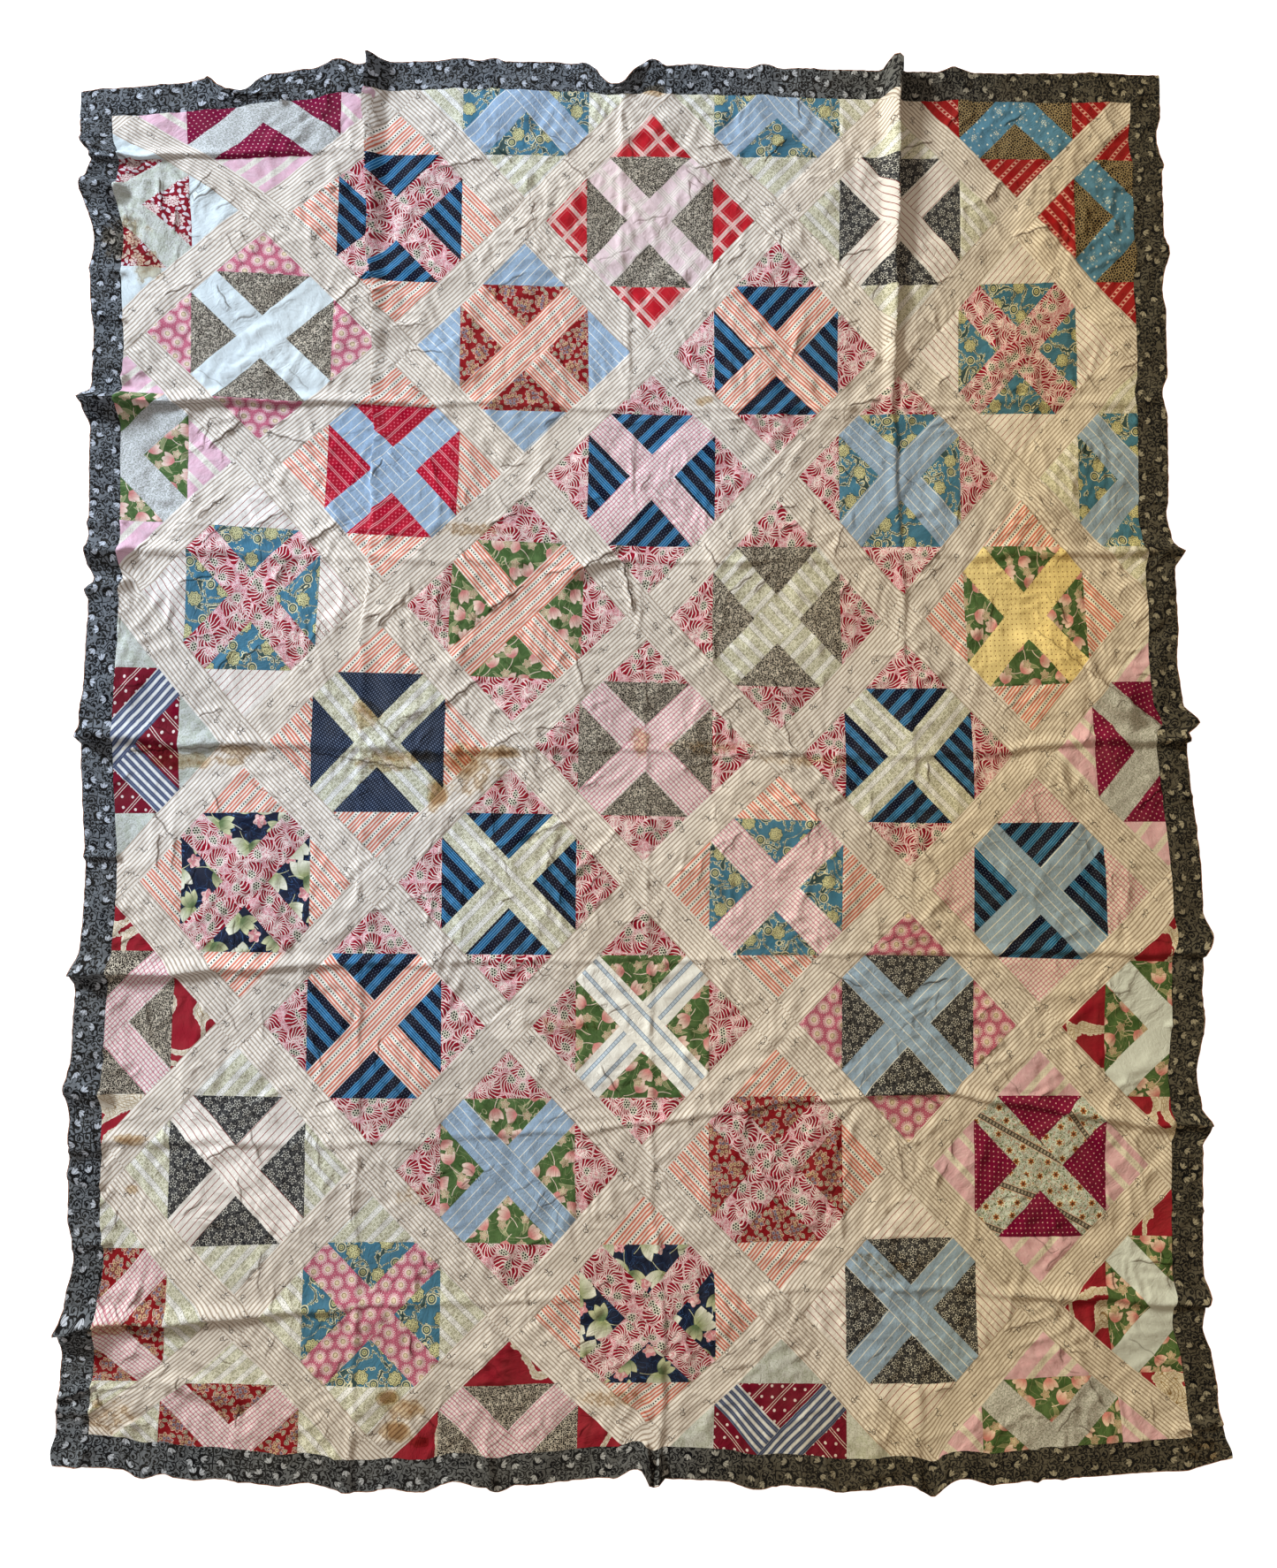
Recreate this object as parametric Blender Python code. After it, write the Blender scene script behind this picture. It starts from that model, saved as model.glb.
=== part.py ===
"""Patchwork quilt top laid out face up on a floor, with its storage folds still standing in it.

Five cloths, each a thin closed solid: the pieced field and the four border strips around it.
The top and bottom strips run the full width and the side strips are butted between them.
Metres, +Z up, +X to the quilt's right and +Y to its head end. The origin is on the floor at the
middle of the quilt's outline.

A point of the cloth is named by its place on the flat, sewn quilt: s across and t up, from the
middle. lie() says where that point lies on the floor and how high a fold lifts it there.
"""

from collections import namedtuple

import bmesh
import bpy
from mathutils import Matrix, Vector

# Driving dimensions
BLOCK_ACROSS = 0.3872
BLOCK_UP = 0.4073
BLOCKS_TO_SIDE = 2.0
BLOCKS_TO_HEAD = 2.5
BORDER_WIDTH = 0.047
CLOTH_THICKNESS = 0.002
SEAM_GAP = 0.0003

# Folds: half their width on the floor, and how many steps the mesh takes between two of them
LONG_FOLD_HALF = 0.020
CROSS_FOLD_HALF = 0.022
STEPS_BETWEEN_LONG = 6
STEPS_BETWEEN_CROSS = 4
BORDER_STEPS = 2

# The slanting folds: half their width, and the length over which their ends run out
STRAY_FOLD_HALF = 0.030
STRAY_FOLD_END = 0.040

# The hem waves: the share of a wave that is left at the border seam, how far into the field
# it fades, and how far a wave tips the hem up for each metre that it moves it
SEAM_SHARE = 0.55
WAVE_REACH = 0.12
HEM_RISE = 0.5

SIDE = BLOCKS_TO_SIDE * BLOCK_ACROSS
HEAD = BLOCKS_TO_HEAD * BLOCK_UP

# How the field lies, a row for each half block from the head seam down to the foot seam.
# left and right: where the side seams lie. west, middle and east: shifts to the right on the
# lines one block left of the middle, in the middle and one block right of it. The rest are
# shifts towards the head on the same five lines.
Lay = namedtuple(
    "Lay", "row left west middle east right up_left up_west up_middle up_east up_right"
)
LAY = [
    Lay(+2.5, -0.828, +0.000, +0.004, +0.000, 0.741, -0.050, -0.001, -0.001, -0.010, -0.016),
    Lay(+2.0, -0.811, +0.001, +0.002, +0.000, 0.746, +0.015, -0.004, -0.003, +0.003, +0.004),
    Lay(+1.5, -0.797, +0.000, +0.007, -0.005, 0.748, +0.018, +0.004, -0.007, -0.004, +0.004),
    Lay(+1.0, -0.792, +0.004, +0.009, -0.005, 0.746, +0.030, +0.012, +0.001, +0.005, +0.002),
    Lay(+0.5, -0.784, -0.003, +0.004, -0.002, 0.754, +0.024, +0.008, -0.009, -0.010, +0.002),
    Lay(+0.0, -0.786, -0.007, +0.002, +0.007, 0.762, -0.002, +0.003, -0.002, -0.011, +0.000),
    Lay(-0.5, -0.776, -0.005, +0.000, +0.002, 0.776, +0.000, +0.001, +0.000, -0.003, -0.005),
    Lay(-1.0, -0.780, -0.002, +0.001, -0.001, 0.773, +0.000, -0.003, -0.001, +0.007, +0.000),
    Lay(-1.5, -0.777, +0.001, +0.002, -0.002, 0.769, -0.005, -0.006, -0.002, +0.005, +0.012),
    Lay(-2.0, -0.774, +0.003, +0.013, +0.000, 0.769, -0.020, -0.002, -0.005, +0.010, +0.017),
    Lay(-2.5, -0.779, +0.003, +0.010, +0.003, 0.790, +0.033, +0.000, +0.022, +0.008, +0.040),
]

# Folds that run up the quilt, a row for each: its s at five rows of blocks from head to foot,
# and its height at the head hem, at those five rows and at the foot hem
LongFold = namedtuple("LongFold", "name s heights")
LONG_FOLDS = [
    LongFold(
        "left", (-0.430, -0.420, -0.414, -0.410, -0.410),
        (0.034, 0.022, 0.008, 0.003, 0.003, 0.004, 0.008),
    ),
    LongFold(
        "middle", (-0.044, -0.034, +0.000, +0.012, +0.020),
        (0.012, 0.012, 0.012, 0.007, 0.005, 0.008, 0.018),
    ),
    LongFold(
        "right", (+0.384, +0.378, +0.390, +0.392, +0.395),
        (0.036, 0.024, 0.009, 0.006, 0.005, 0.005, 0.007),
    ),
]

# Folds that run across, a row for each from the head down: its t on the five lines from left
# to right, and its height at the left hem, on those five lines and at the right hem
CrossFold = namedtuple("CrossFold", "name t heights")
CROSS_FOLDS = [
    CrossFold(
        "corner", (0.925, 0.928, 0.930, 0.930, 0.930),
        (0.018, 0.013, 0.000, 0.000, 0.000, 0.000, 0.000),
    ),
    CrossFold(
        "shoulder", (0.497, 0.516, 0.518, 0.523, 0.528),
        (0.020, 0.014, 0.006, 0.004, 0.003, 0.004, 0.006),
    ),
    CrossFold(
        "upper", (0.258, 0.268, 0.282, 0.295, 0.306),
        (0.009, 0.007, 0.003, 0.007, 0.003, 0.010, 0.020),
    ),
    CrossFold(
        "waist", (0.010, -0.008, -0.003, 0.002, 0.020),
        (0.017, 0.012, 0.006, 0.005, 0.008, 0.014, 0.028),
    ),
    CrossFold(
        "lower", (-0.336, -0.318, -0.312, -0.300, -0.290),
        (0.020, 0.013, 0.006, 0.005, 0.007, 0.009, 0.016),
    ),
    CrossFold(
        "shin", (-0.572, -0.570, -0.545, -0.505, -0.548),
        (0.011, 0.009, 0.006, 0.007, 0.008, 0.010, 0.018),
    ),
    CrossFold(
        "foot", (-0.820, -0.806, -0.782, -0.785, -0.812),
        (0.026, 0.015, 0.007, 0.006, 0.006, 0.011, 0.016),
    ),
]

# Short folds that run aslant, a row for each: where it starts and ends, and its height
StrayFold = namedtuple("StrayFold", "name start_s start_t end_s end_t height")
STRAY_FOLDS = [
    StrayFold("tuck to the right hem", 0.555, 0.185, 0.752, 0.036, 0.012),
    StrayFold("tuck above it", 0.570, 0.395, 0.690, 0.290, 0.007),
    StrayFold("pucker by the middle fold", -0.150, 0.236, -0.060, 0.290, 0.007),
    StrayFold("slack at the left hem", -0.700, -0.905, -0.560, -0.955, 0.006),
]

# Waves of the hems, a row for each: its place along the hem, how far the hem stands out there
# (in where negative) and half its length
Wave = namedtuple("Wave", "at out half")
LEFT_WAVES = [
    Wave(+0.862, +0.016, 0.030),
    Wave(+0.770, -0.005, 0.050),
    Wave(+0.522, +0.016, 0.030),
    Wave(+0.290, +0.005, 0.035),
    Wave(+0.246, -0.009, 0.030),
    Wave(+0.036, +0.011, 0.045),
    Wave(-0.337, +0.015, 0.030),
    Wave(-0.500, +0.010, 0.045),
    Wave(-0.587, +0.005, 0.030),
    Wave(-0.745, -0.008, 0.060),
    Wave(-0.841, +0.019, 0.028),
    Wave(-1.010, +0.010, 0.040),
]
RIGHT_WAVES = [
    Wave(+0.776, +0.007, 0.030),
    Wave(+0.706, -0.004, 0.040),
    Wave(+0.532, -0.011, 0.035),
    Wave(+0.357, -0.006, 0.035),
    Wave(+0.306, +0.018, 0.022),
    Wave(+0.130, -0.006, 0.060),
    Wave(+0.038, +0.021, 0.024),
    Wave(-0.275, +0.018, 0.034),
    Wave(-0.391, +0.005, 0.040),
    Wave(-0.470, -0.009, 0.045),
    Wave(-0.548, +0.016, 0.028),
    Wave(-0.793, +0.007, 0.024),
    Wave(-0.830, -0.008, 0.035),
    Wave(-0.985, +0.008, 0.040),
]
HEAD_WAVES = [
    Wave(-0.640, -0.020, 0.050),
    Wave(-0.465, +0.018, 0.045),
    Wave(-0.434, +0.020, 0.020),
    Wave(-0.290, +0.009, 0.024),
    Wave(-0.239, +0.009, 0.020),
    Wave(-0.049, -0.030, 0.034),
    Wave(+0.006, +0.009, 0.022),
    Wave(+0.076, +0.005, 0.045),
    Wave(+0.178, +0.010, 0.026),
    Wave(+0.384, +0.034, 0.018),
]
FOOT_WAVES = [
    Wave(-0.701, +0.012, 0.035),
    Wave(-0.352, -0.007, 0.030),
    Wave(-0.242, -0.010, 0.034),
    Wave(-0.198, +0.010, 0.024),
    Wave(-0.060, -0.007, 0.050),
    Wave(+0.020, +0.012, 0.018),
    Wave(+0.165, +0.010, 0.040),
    Wave(+0.284, +0.005, 0.035),
    Wave(+0.370, -0.013, 0.050),
    Wave(+0.431, +0.014, 0.016),
    Wave(+0.470, -0.012, 0.045),
    Wave(+0.781, -0.010, 0.050),
]

# Finish: colour, roughness
Finish = namedtuple("Finish", "colour roughness")
PATCHWORK_COTTON = Finish((0.72, 0.62, 0.56), 0.95)
BORDER_PRINT = Finish((0.075, 0.08, 0.10), 0.95)


def mix(low, high, share):
    return low + (high - low) * share


def eased(share):
    """0 to 1 with level ends."""
    share = min(max(share, 0.0), 1.0)
    return share * share * (3.0 - 2.0 * share)


def along(values, place):
    """Reads a row of evenly spaced values at a place counted in values, on a smooth curve."""
    last = len(values) - 1
    place = min(max(place, 0.0), float(last))
    low = min(int(place), last - 1)
    share = place - low
    before = values[max(low - 1, 0)]
    start = values[low]
    end = values[low + 1]
    after = values[min(low + 2, last)]
    slope_start = 0.5 * (end - before)
    slope_end = 0.5 * (after - start)
    bend = start - end
    cubic = 2.0 * bend + slope_start + slope_end
    square = -3.0 * bend - 2.0 * slope_start - slope_end
    return ((cubic * share + square) * share + slope_start) * share + start


def bell(distance, half):
    """A soft ridge: 1 on its line, 0 and level at half its width."""
    share = min(abs(distance) / half, 1.0)
    return (1.0 - share * share) ** 2


def hem_wave(waves, place):
    return sum(wave.out * bell(place - wave.at, wave.half) for wave in waves)


def wave_share(depth):
    """How much of a hem wave is left at a depth inside the seam (negative in the border)."""
    if depth < 0.0:
        return mix(SEAM_SHARE, 1.0, min(-depth / BORDER_WIDTH, 1.0))
    return SEAM_SHARE * (1.0 - eased(depth / WAVE_REACH))


def field_shift(s, t):
    """The shift right and towards the head of a point of the field, from LAY."""
    across = s / BLOCK_ACROSS + BLOCKS_TO_SIDE
    down = (BLOCKS_TO_HEAD - t / BLOCK_UP) * 2.0
    rights = []
    ups = []
    for lay in LAY:
        line = (lay.left + SIDE, lay.west, lay.middle, lay.east, lay.right - SIDE)
        rights.append(along(line, across))
        line = (lay.up_left, lay.up_west, lay.up_middle, lay.up_east, lay.up_right)
        ups.append(along(line, across))
    return along(rights, down), along(ups, down)


def long_place(fold, t):
    down = (HEAD - t) / (2.0 * HEAD) * (len(fold.s) - 1)
    return along(fold.s, down)


def cross_place(fold, s):
    across = (s + SIDE) / (2.0 * SIDE) * (len(fold.t) - 1)
    return along(fold.t, across)


def fold_height(heights, place, reach, border):
    """A fold's height at a place from -reach to reach, with a hem value at each end."""
    inner = heights[1:-1]
    if place < -reach:
        return mix(heights[1], heights[0], min((-reach - place) / border, 1.0))
    if place > reach:
        return mix(heights[-2], heights[-1], min((place - reach) / border, 1.0))
    share = (place + reach) / (2.0 * reach) * (len(inner) - 1)
    return max(along(inner, share), 0.0)


def stray_lift(fold, s, t):
    """The height of a slanting fold, which runs out softly at both ends."""
    start = Vector((fold.start_s, fold.start_t))
    run = Vector((fold.end_s, fold.end_t)) - start
    length = run.length
    run.normalize()
    offset = Vector((s, t)) - start
    reached = offset.dot(run)
    aside = offset.x * run.y - offset.y * run.x
    ends = eased(reached / STRAY_FOLD_END) * eased((length - reached) / STRAY_FOLD_END)
    return fold.height * bell(aside, STRAY_FOLD_HALF) * ends


def hem_lift(s, t):
    """How high the hem waves tip the border up, from nothing at its seam."""
    side_waves = RIGHT_WAVES if s > 0.0 else LEFT_WAVES
    end_waves = HEAD_WAVES if t > 0.0 else FOOT_WAVES
    side_share = min(max(abs(s) - SIDE, 0.0) / BORDER_WIDTH, 1.0)
    end_share = min(max(abs(t) - HEAD, 0.0) / BORDER_WIDTH, 1.0)
    side_wave = abs(hem_wave(side_waves, t)) * side_share
    end_wave = abs(hem_wave(end_waves, s)) * end_share
    return HEM_RISE * (side_wave + end_wave)


def lift(s, t):
    """How high the folds hold a point of the cloth: where two meet, the higher one leads."""
    lifts = [stray_lift(fold, s, t) for fold in STRAY_FOLDS]
    lifts.append(hem_lift(s, t))
    for fold in LONG_FOLDS:
        ridge = bell(s - long_place(fold, t), LONG_FOLD_HALF)
        lifts.append(ridge * fold_height(fold.heights, -t, HEAD, BORDER_WIDTH))
    for fold in CROSS_FOLDS:
        ridge = bell(t - cross_place(fold, s), CROSS_FOLD_HALF)
        lifts.append(ridge * fold_height(fold.heights, s, SIDE, BORDER_WIDTH))
    return sum(height ** 3 for height in lifts) ** (1.0 / 3.0)


def lie(s, t):
    """Where a point of the flat quilt lies, as (x, y, z) of the cloth's underside."""
    inner_s = min(max(s, -SIDE), SIDE)
    inner_t = min(max(t, -HEAD), HEAD)
    right, up = field_shift(inner_s, inner_t)
    x = s + right
    y = t + up
    side_waves = RIGHT_WAVES if s > 0.0 else LEFT_WAVES
    end_waves = HEAD_WAVES if t > 0.0 else FOOT_WAVES
    side_out = hem_wave(side_waves, y) * wave_share(SIDE - abs(s))
    end_out = hem_wave(end_waves, x) * wave_share(HEAD - abs(t))
    x += side_out if s > 0.0 else -side_out
    y += end_out if t > 0.0 else -end_out
    return Vector((x, y, lift(s, t)))


def stations(centres, half, low, high, steps):
    """Places for the mesh lines from low to high: five on each fold, steps between folds."""
    marks = [low]
    for centre in centres:
        start = marks[-1]
        edge = centre - half
        marks += [mix(start, edge, step / steps) for step in range(1, steps + 1)]
        marks += [centre - 0.5 * half, centre, centre + 0.5 * half, centre + half]
    start = marks[-1]
    marks += [mix(start, high, step / steps) for step in range(1, steps + 1)]
    return marks


def columns_at(t):
    centres = [long_place(fold, min(max(t, -HEAD), HEAD)) for fold in LONG_FOLDS]
    return stations(centres, LONG_FOLD_HALF, -SIDE, SIDE, STEPS_BETWEEN_LONG)


def rows_at(s):
    inner = min(max(s, -SIDE), SIDE)
    centres = [cross_place(fold, inner) for fold in reversed(CROSS_FOLDS)]
    return stations(centres, CROSS_FOLD_HALF, -HEAD, HEAD, STEPS_BETWEEN_CROSS)


def border_strip(inner, outer):
    """Places across a border strip, from its seam with the field out to its hem."""
    return [mix(inner, outer, step / BORDER_STEPS) for step in range(BORDER_STEPS + 1)]


def field_net():
    """Flat places of the field's mesh points, as columns of rows, its edges half a gap in."""
    trim = SEAM_GAP / 2.0
    middle_rows = rows_at(0.0)
    net = []
    for column in range(len(columns_at(0.0))):
        line = []
        for row, near in enumerate(middle_rows):
            s = columns_at(near)[column]
            t = rows_at(s)[row]
            s = min(max(s, -SIDE + trim), SIDE - trim)
            t = min(max(t, -HEAD + trim), HEAD - trim)
            line.append((s, t))
        net.append(line)
    return net


def side_net(sign):
    """Flat places of a side strip, butted between the strips at the head and the foot."""
    trim = SEAM_GAP / 2.0
    net = []
    for s in border_strip(SIDE + trim, SIDE + BORDER_WIDTH):
        line = []
        for t in rows_at(sign * SIDE):
            line.append((sign * s, min(max(t, -HEAD + trim), HEAD - trim)))
        net.append(line)
    return net if sign > 0 else net[::-1]


def end_net(sign):
    """Flat places of the strip at the head or the foot, with both corners of the quilt."""
    trim = SEAM_GAP / 2.0
    inner = columns_at(sign * HEAD)
    corner = border_strip(SIDE, SIDE + BORDER_WIDTH)[1:]
    across = [-s for s in reversed(corner)] + inner + corner
    up = border_strip(HEAD + trim, HEAD + BORDER_WIDTH)
    if sign < 0:
        up = up[::-1]
    return [[(s, sign * t) for t in up] for s in across]


def cloth(name, net, finish, collection):
    """One cloth: a grid laid on its net's places, then extruded straight up by its thickness."""
    columns = len(net)
    rows = len(net[0])
    mesh = bpy.data.meshes.new(name)
    sheet = bmesh.new()
    bmesh.ops.create_grid(sheet, x_segments=columns - 1, y_segments=rows - 1, size=0.5)
    for vert in sheet.verts:
        column = round((vert.co.x + 0.5) * (columns - 1))
        row = round((vert.co.y + 0.5) * (rows - 1))
        vert.co = lie(*net[column][row])
    bmesh.ops.triangulate(sheet, faces=sheet.faces[:])
    made = bmesh.ops.extrude_face_region(sheet, geom=sheet.faces[:], use_keep_orig=True)
    top = [item for item in made["geom"] if isinstance(item, bmesh.types.BMVert)]
    bmesh.ops.translate(sheet, verts=top, vec=(0.0, 0.0, CLOTH_THICKNESS))
    bmesh.ops.triangulate(sheet, faces=sheet.faces[:])
    bmesh.ops.recalc_face_normals(sheet, faces=sheet.faces[:])
    sheet.to_mesh(mesh)
    sheet.free()
    mesh.materials.append(finish)
    piece = bpy.data.objects.new(name, mesh)
    collection.objects.link(piece)
    return piece


def cotton(name, finish):
    material = bpy.data.materials.new(name)
    material.use_nodes = True
    shader = material.node_tree.nodes["Principled BSDF"]
    shader.inputs["Base Color"].default_value = (*finish.colour, 1.0)
    shader.inputs["Roughness"].default_value = finish.roughness
    shader.inputs["Metallic"].default_value = 0.0
    return material


def centre_on_floor(pieces):
    """Moves every mesh so that the origin is at the middle of the whole outline."""
    corners = [vert.co for piece in pieces for vert in piece.data.vertices]
    middle_x = (min(co.x for co in corners) + max(co.x for co in corners)) / 2.0
    middle_y = (min(co.y for co in corners) + max(co.y for co in corners)) / 2.0
    for piece in pieces:
        piece.data.transform(Matrix.Translation((-middle_x, -middle_y, 0.0)))
    print("outline middle", round(middle_x, 5), round(middle_y, 5))


def main():
    for old in list(bpy.data.objects):
        bpy.data.objects.remove(old, do_unlink=True)
    collection = bpy.data.collections.new("quilt_top")
    bpy.context.scene.collection.children.link(collection)

    patchwork = cotton("patchwork_cotton", PATCHWORK_COTTON)
    pieces = [cloth("patchwork_field", field_net(), patchwork, collection)]
    strips = [
        ("border_top", end_net(+1)),
        ("border_bottom", end_net(-1)),
        ("border_left", side_net(-1)),
        ("border_right", side_net(+1)),
    ]
    for name, net in strips:
        print_cotton = cotton(name + "_print", BORDER_PRINT)
        pieces.append(cloth(name, net, print_cotton, collection))
    centre_on_floor(pieces)
    for piece in pieces:
        print(piece.name, len(piece.data.polygons), "triangles")


main()
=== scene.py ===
# %% [markdown]
# # A pieced quilt top, laid out on the floor
# The real thing is a thin cotton top: album blocks set on their points, a striped sashing
# between them and a dark print border. It has no wadding and no backing, so every storage fold
# and every small crease shows. It could be made as one grid with a painted picture of patches.
# Instead each block, each run of sashing and each length of border is its own thin cloth, cut
# on seam lines, and every print is drafted with nodes on the grain of the patch it is cut from.

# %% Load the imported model
import math
from collections import namedtuple

import bpy
import numpy as np
from mathutils import Matrix, Vector


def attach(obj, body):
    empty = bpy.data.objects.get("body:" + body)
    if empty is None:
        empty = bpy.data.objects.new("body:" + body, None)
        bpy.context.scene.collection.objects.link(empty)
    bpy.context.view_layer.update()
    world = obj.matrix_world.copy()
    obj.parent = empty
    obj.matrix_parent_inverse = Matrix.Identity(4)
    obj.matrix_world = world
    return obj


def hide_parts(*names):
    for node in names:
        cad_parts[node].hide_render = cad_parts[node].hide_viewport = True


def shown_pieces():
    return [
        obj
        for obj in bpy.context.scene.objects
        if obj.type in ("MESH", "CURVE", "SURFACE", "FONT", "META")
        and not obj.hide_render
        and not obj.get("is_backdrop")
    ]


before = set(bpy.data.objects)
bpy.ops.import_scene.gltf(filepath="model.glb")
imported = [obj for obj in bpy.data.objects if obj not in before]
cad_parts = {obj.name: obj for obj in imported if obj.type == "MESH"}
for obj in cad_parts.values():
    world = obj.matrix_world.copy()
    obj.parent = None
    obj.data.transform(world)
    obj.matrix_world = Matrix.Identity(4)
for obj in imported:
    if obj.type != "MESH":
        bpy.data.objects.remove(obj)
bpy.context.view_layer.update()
bpy.ops.object.select_all(action="DESELECT")
print("CAD nodes:", sorted(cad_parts))

# %% [markdown]
# ## The camera
# The photograph looks almost straight down, from a little below the middle of the quilt. A
# camera could be aimed by eye, but its place, tilt and roll were worked out from the middles of
# the blocks, so that a place in the photograph can also be turned into a place on the floor.

# %% Camera
PHOTO_WIDTH = 1445
PHOTO_HEIGHT = 1774
FOCAL_PIXELS = 1500.0
SENSOR_WIDTH = 36.0
CAMERA_PLACE = Vector((0.0075, -0.2298, 1.9535))
CAMERA_TILT = 0.0832
CAMERA_ROLL = 0.0079

camera_turn = Matrix.Rotation(CAMERA_TILT, 4, "X") @ Matrix.Rotation(CAMERA_ROLL, 4, "Z")
camera_data = bpy.data.cameras.new("camera")
camera_data.sensor_width = SENSOR_WIDTH
camera_data.lens = SENSOR_WIDTH * FOCAL_PIXELS / PHOTO_HEIGHT
camera = bpy.data.objects.new("camera", camera_data)
camera.matrix_world = Matrix.Translation(CAMERA_PLACE) @ camera_turn
bpy.context.collection.objects.link(camera)
bpy.context.scene.camera = camera


def from_photo(column, row):
    """The place on the floor, x and y in metres, that a pixel of the photograph shows."""
    across = (column - PHOTO_WIDTH / 2) / FOCAL_PIXELS
    up = (PHOTO_HEIGHT / 2 - row) / FOCAL_PIXELS
    ray = camera_turn.to_3x3() @ Vector((across, up, -1.0))
    reached = CAMERA_PLACE - ray * (CAMERA_PLACE.z / ray.z)
    return reached.x, reached.y


photo_middle = from_photo(PHOTO_WIDTH / 2, PHOTO_HEIGHT / 2)
print("the photograph's middle shows", [round(v, 3) for v in photo_middle])

# %% [markdown]
# ## Floor and light
# Such a top is photographed on a white ground in soft daylight. One hard lamp would draw harsh
# folds and a plain white world would draw none. A broad cool lamp, low on the upper left, shows
# the creases, and a pale world fills their shadows. The floor glows, so it stays white.

# %% Floor and lights
FLOOR_HALF = 3.0
FLOOR_DROP = 0.0006
FLOOR_GLOW = 0.80
LAMP_PLACE = Vector((-6.6, 4.6, 3.4))
LAMP_AIM = Vector((0.0, 0.1, 0.0))
LAMP_WIDTH = 1.7
LAMP_WATTS = 1100.0
LAMP_COLOUR = (0.82, 0.92, 1.0)
ROOM_STRENGTH = 0.34


def dye(red, green, blue):
    """A colour as the eye reads it, from 0 to 255, turned into the light values that nodes use."""
    shares = (value / 255.0 for value in (red, green, blue))
    light = [v / 12.92 if v <= 0.04045 else ((v + 0.055) / 1.055) ** 2.4 for v in shares]
    return (*light, 1.0)


bpy.ops.mesh.primitive_plane_add(size=2 * FLOOR_HALF, location=(0.0, 0.0, -FLOOR_DROP))
floor = bpy.context.object
floor.name = "floor"
floor_paint = bpy.data.materials.new("floor_paint")
floor_paint.use_nodes = True
floor_shader = floor_paint.node_tree.nodes["Principled BSDF"]
floor_shader.inputs["Base Color"].default_value = dye(252, 252, 252)
floor_shader.inputs["Roughness"].default_value = 0.9
floor_shader.inputs["Emission Color"].default_value = dye(255, 255, 255)
floor_shader.inputs["Emission Strength"].default_value = FLOOR_GLOW
floor.data.materials.append(floor_paint)
floor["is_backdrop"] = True
bpy.ops.object.select_all(action="DESELECT")

lamp_data = bpy.data.lights.new("key", "AREA")
lamp_data.shape = "SQUARE"
lamp_data.size = LAMP_WIDTH
lamp_data.energy = LAMP_WATTS
lamp_data.color = LAMP_COLOUR
lamp = bpy.data.objects.new("key", lamp_data)
lamp.location = LAMP_PLACE
lamp.rotation_mode = "QUATERNION"
lamp.rotation_quaternion = (LAMP_AIM - LAMP_PLACE).to_track_quat("-Z", "Y")
bpy.context.collection.objects.link(lamp)
world = bpy.context.scene.world or bpy.data.worlds.new("room")
bpy.context.scene.world = world
world.use_nodes = True
room = world.node_tree.nodes["Background"]
room.inputs["Color"].default_value = dye(255, 247, 240)
room.inputs["Strength"].default_value = ROOM_STRENGTH
bpy.context.scene.view_settings.view_transform = "Standard"

# %% [markdown]
# ## How the cloth lies
# A point of the quilt is named by its place on the flat, sewn top: s across and t up, from the
# middle. The same tables that shape the solids say where it lies on the floor and how high a
# fold lifts it. The cloth here could be shrink-wrapped onto the solids, but their mesh is
# coarse, and the sums give a smooth fold at any step.

# %% Sizes of the flat quilt
BLOCK_ACROSS = 0.3872
BLOCK_UP = 0.4073
BLOCKS_TO_SIDE = 2.0
BLOCKS_TO_HEAD = 2.5
BORDER_WIDTH = 0.047
SIDE = BLOCKS_TO_SIDE * BLOCK_ACROSS
HEAD = BLOCKS_TO_HEAD * BLOCK_UP
OUTLINE_MIDDLE = (-0.01521, 0.01205)

# %% Where the field lies
# A row for each half block from the head seam down. left and right: where the side seams lie.
# west, middle and east: shifts to the right on the lines between. The rest are shifts up.
Lay = namedtuple(
    "Lay", "row left west middle east right up_left up_west up_middle up_east up_right"
)
LAY = [
    Lay(+2.5, -0.828, +0.000, +0.004, +0.000, 0.741, -0.050, -0.005, -0.007, -0.013, -0.016),
    Lay(+2.0, -0.811, +0.003, +0.002, +0.000, 0.742, +0.013, -0.006, -0.007, +0.001, +0.004),
    Lay(+1.5, -0.797, +0.004, +0.007, -0.006, 0.743, +0.016, +0.001, -0.011, -0.009, +0.004),
    Lay(+1.0, -0.792, +0.006, +0.009, -0.005, 0.741, +0.030, +0.009, +0.001, +0.005, +0.002),
    Lay(+0.5, -0.784, -0.003, +0.004, -0.002, 0.749, +0.024, +0.008, -0.009, -0.010, +0.002),
    Lay(+0.0, -0.786, -0.007, +0.002, +0.007, 0.758, -0.002, +0.003, -0.002, -0.011, +0.000),
    Lay(-0.5, -0.771, -0.005, +0.000, +0.002, 0.776, +0.000, +0.001, +0.000, -0.003, -0.005),
    Lay(-1.0, -0.780, -0.002, +0.001, -0.001, 0.768, +0.000, -0.003, -0.001, +0.007, +0.000),
    Lay(-1.5, -0.777, +0.001, +0.002, -0.002, 0.764, -0.005, -0.006, -0.002, +0.005, +0.012),
    Lay(-2.0, -0.774, +0.003, +0.013, +0.000, 0.762, -0.020, -0.002, -0.005, +0.010, +0.017),
    Lay(-2.5, -0.779, +0.003, +0.010, +0.003, 0.784, +0.033, +0.000, +0.022, +0.008, +0.040),
]

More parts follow.
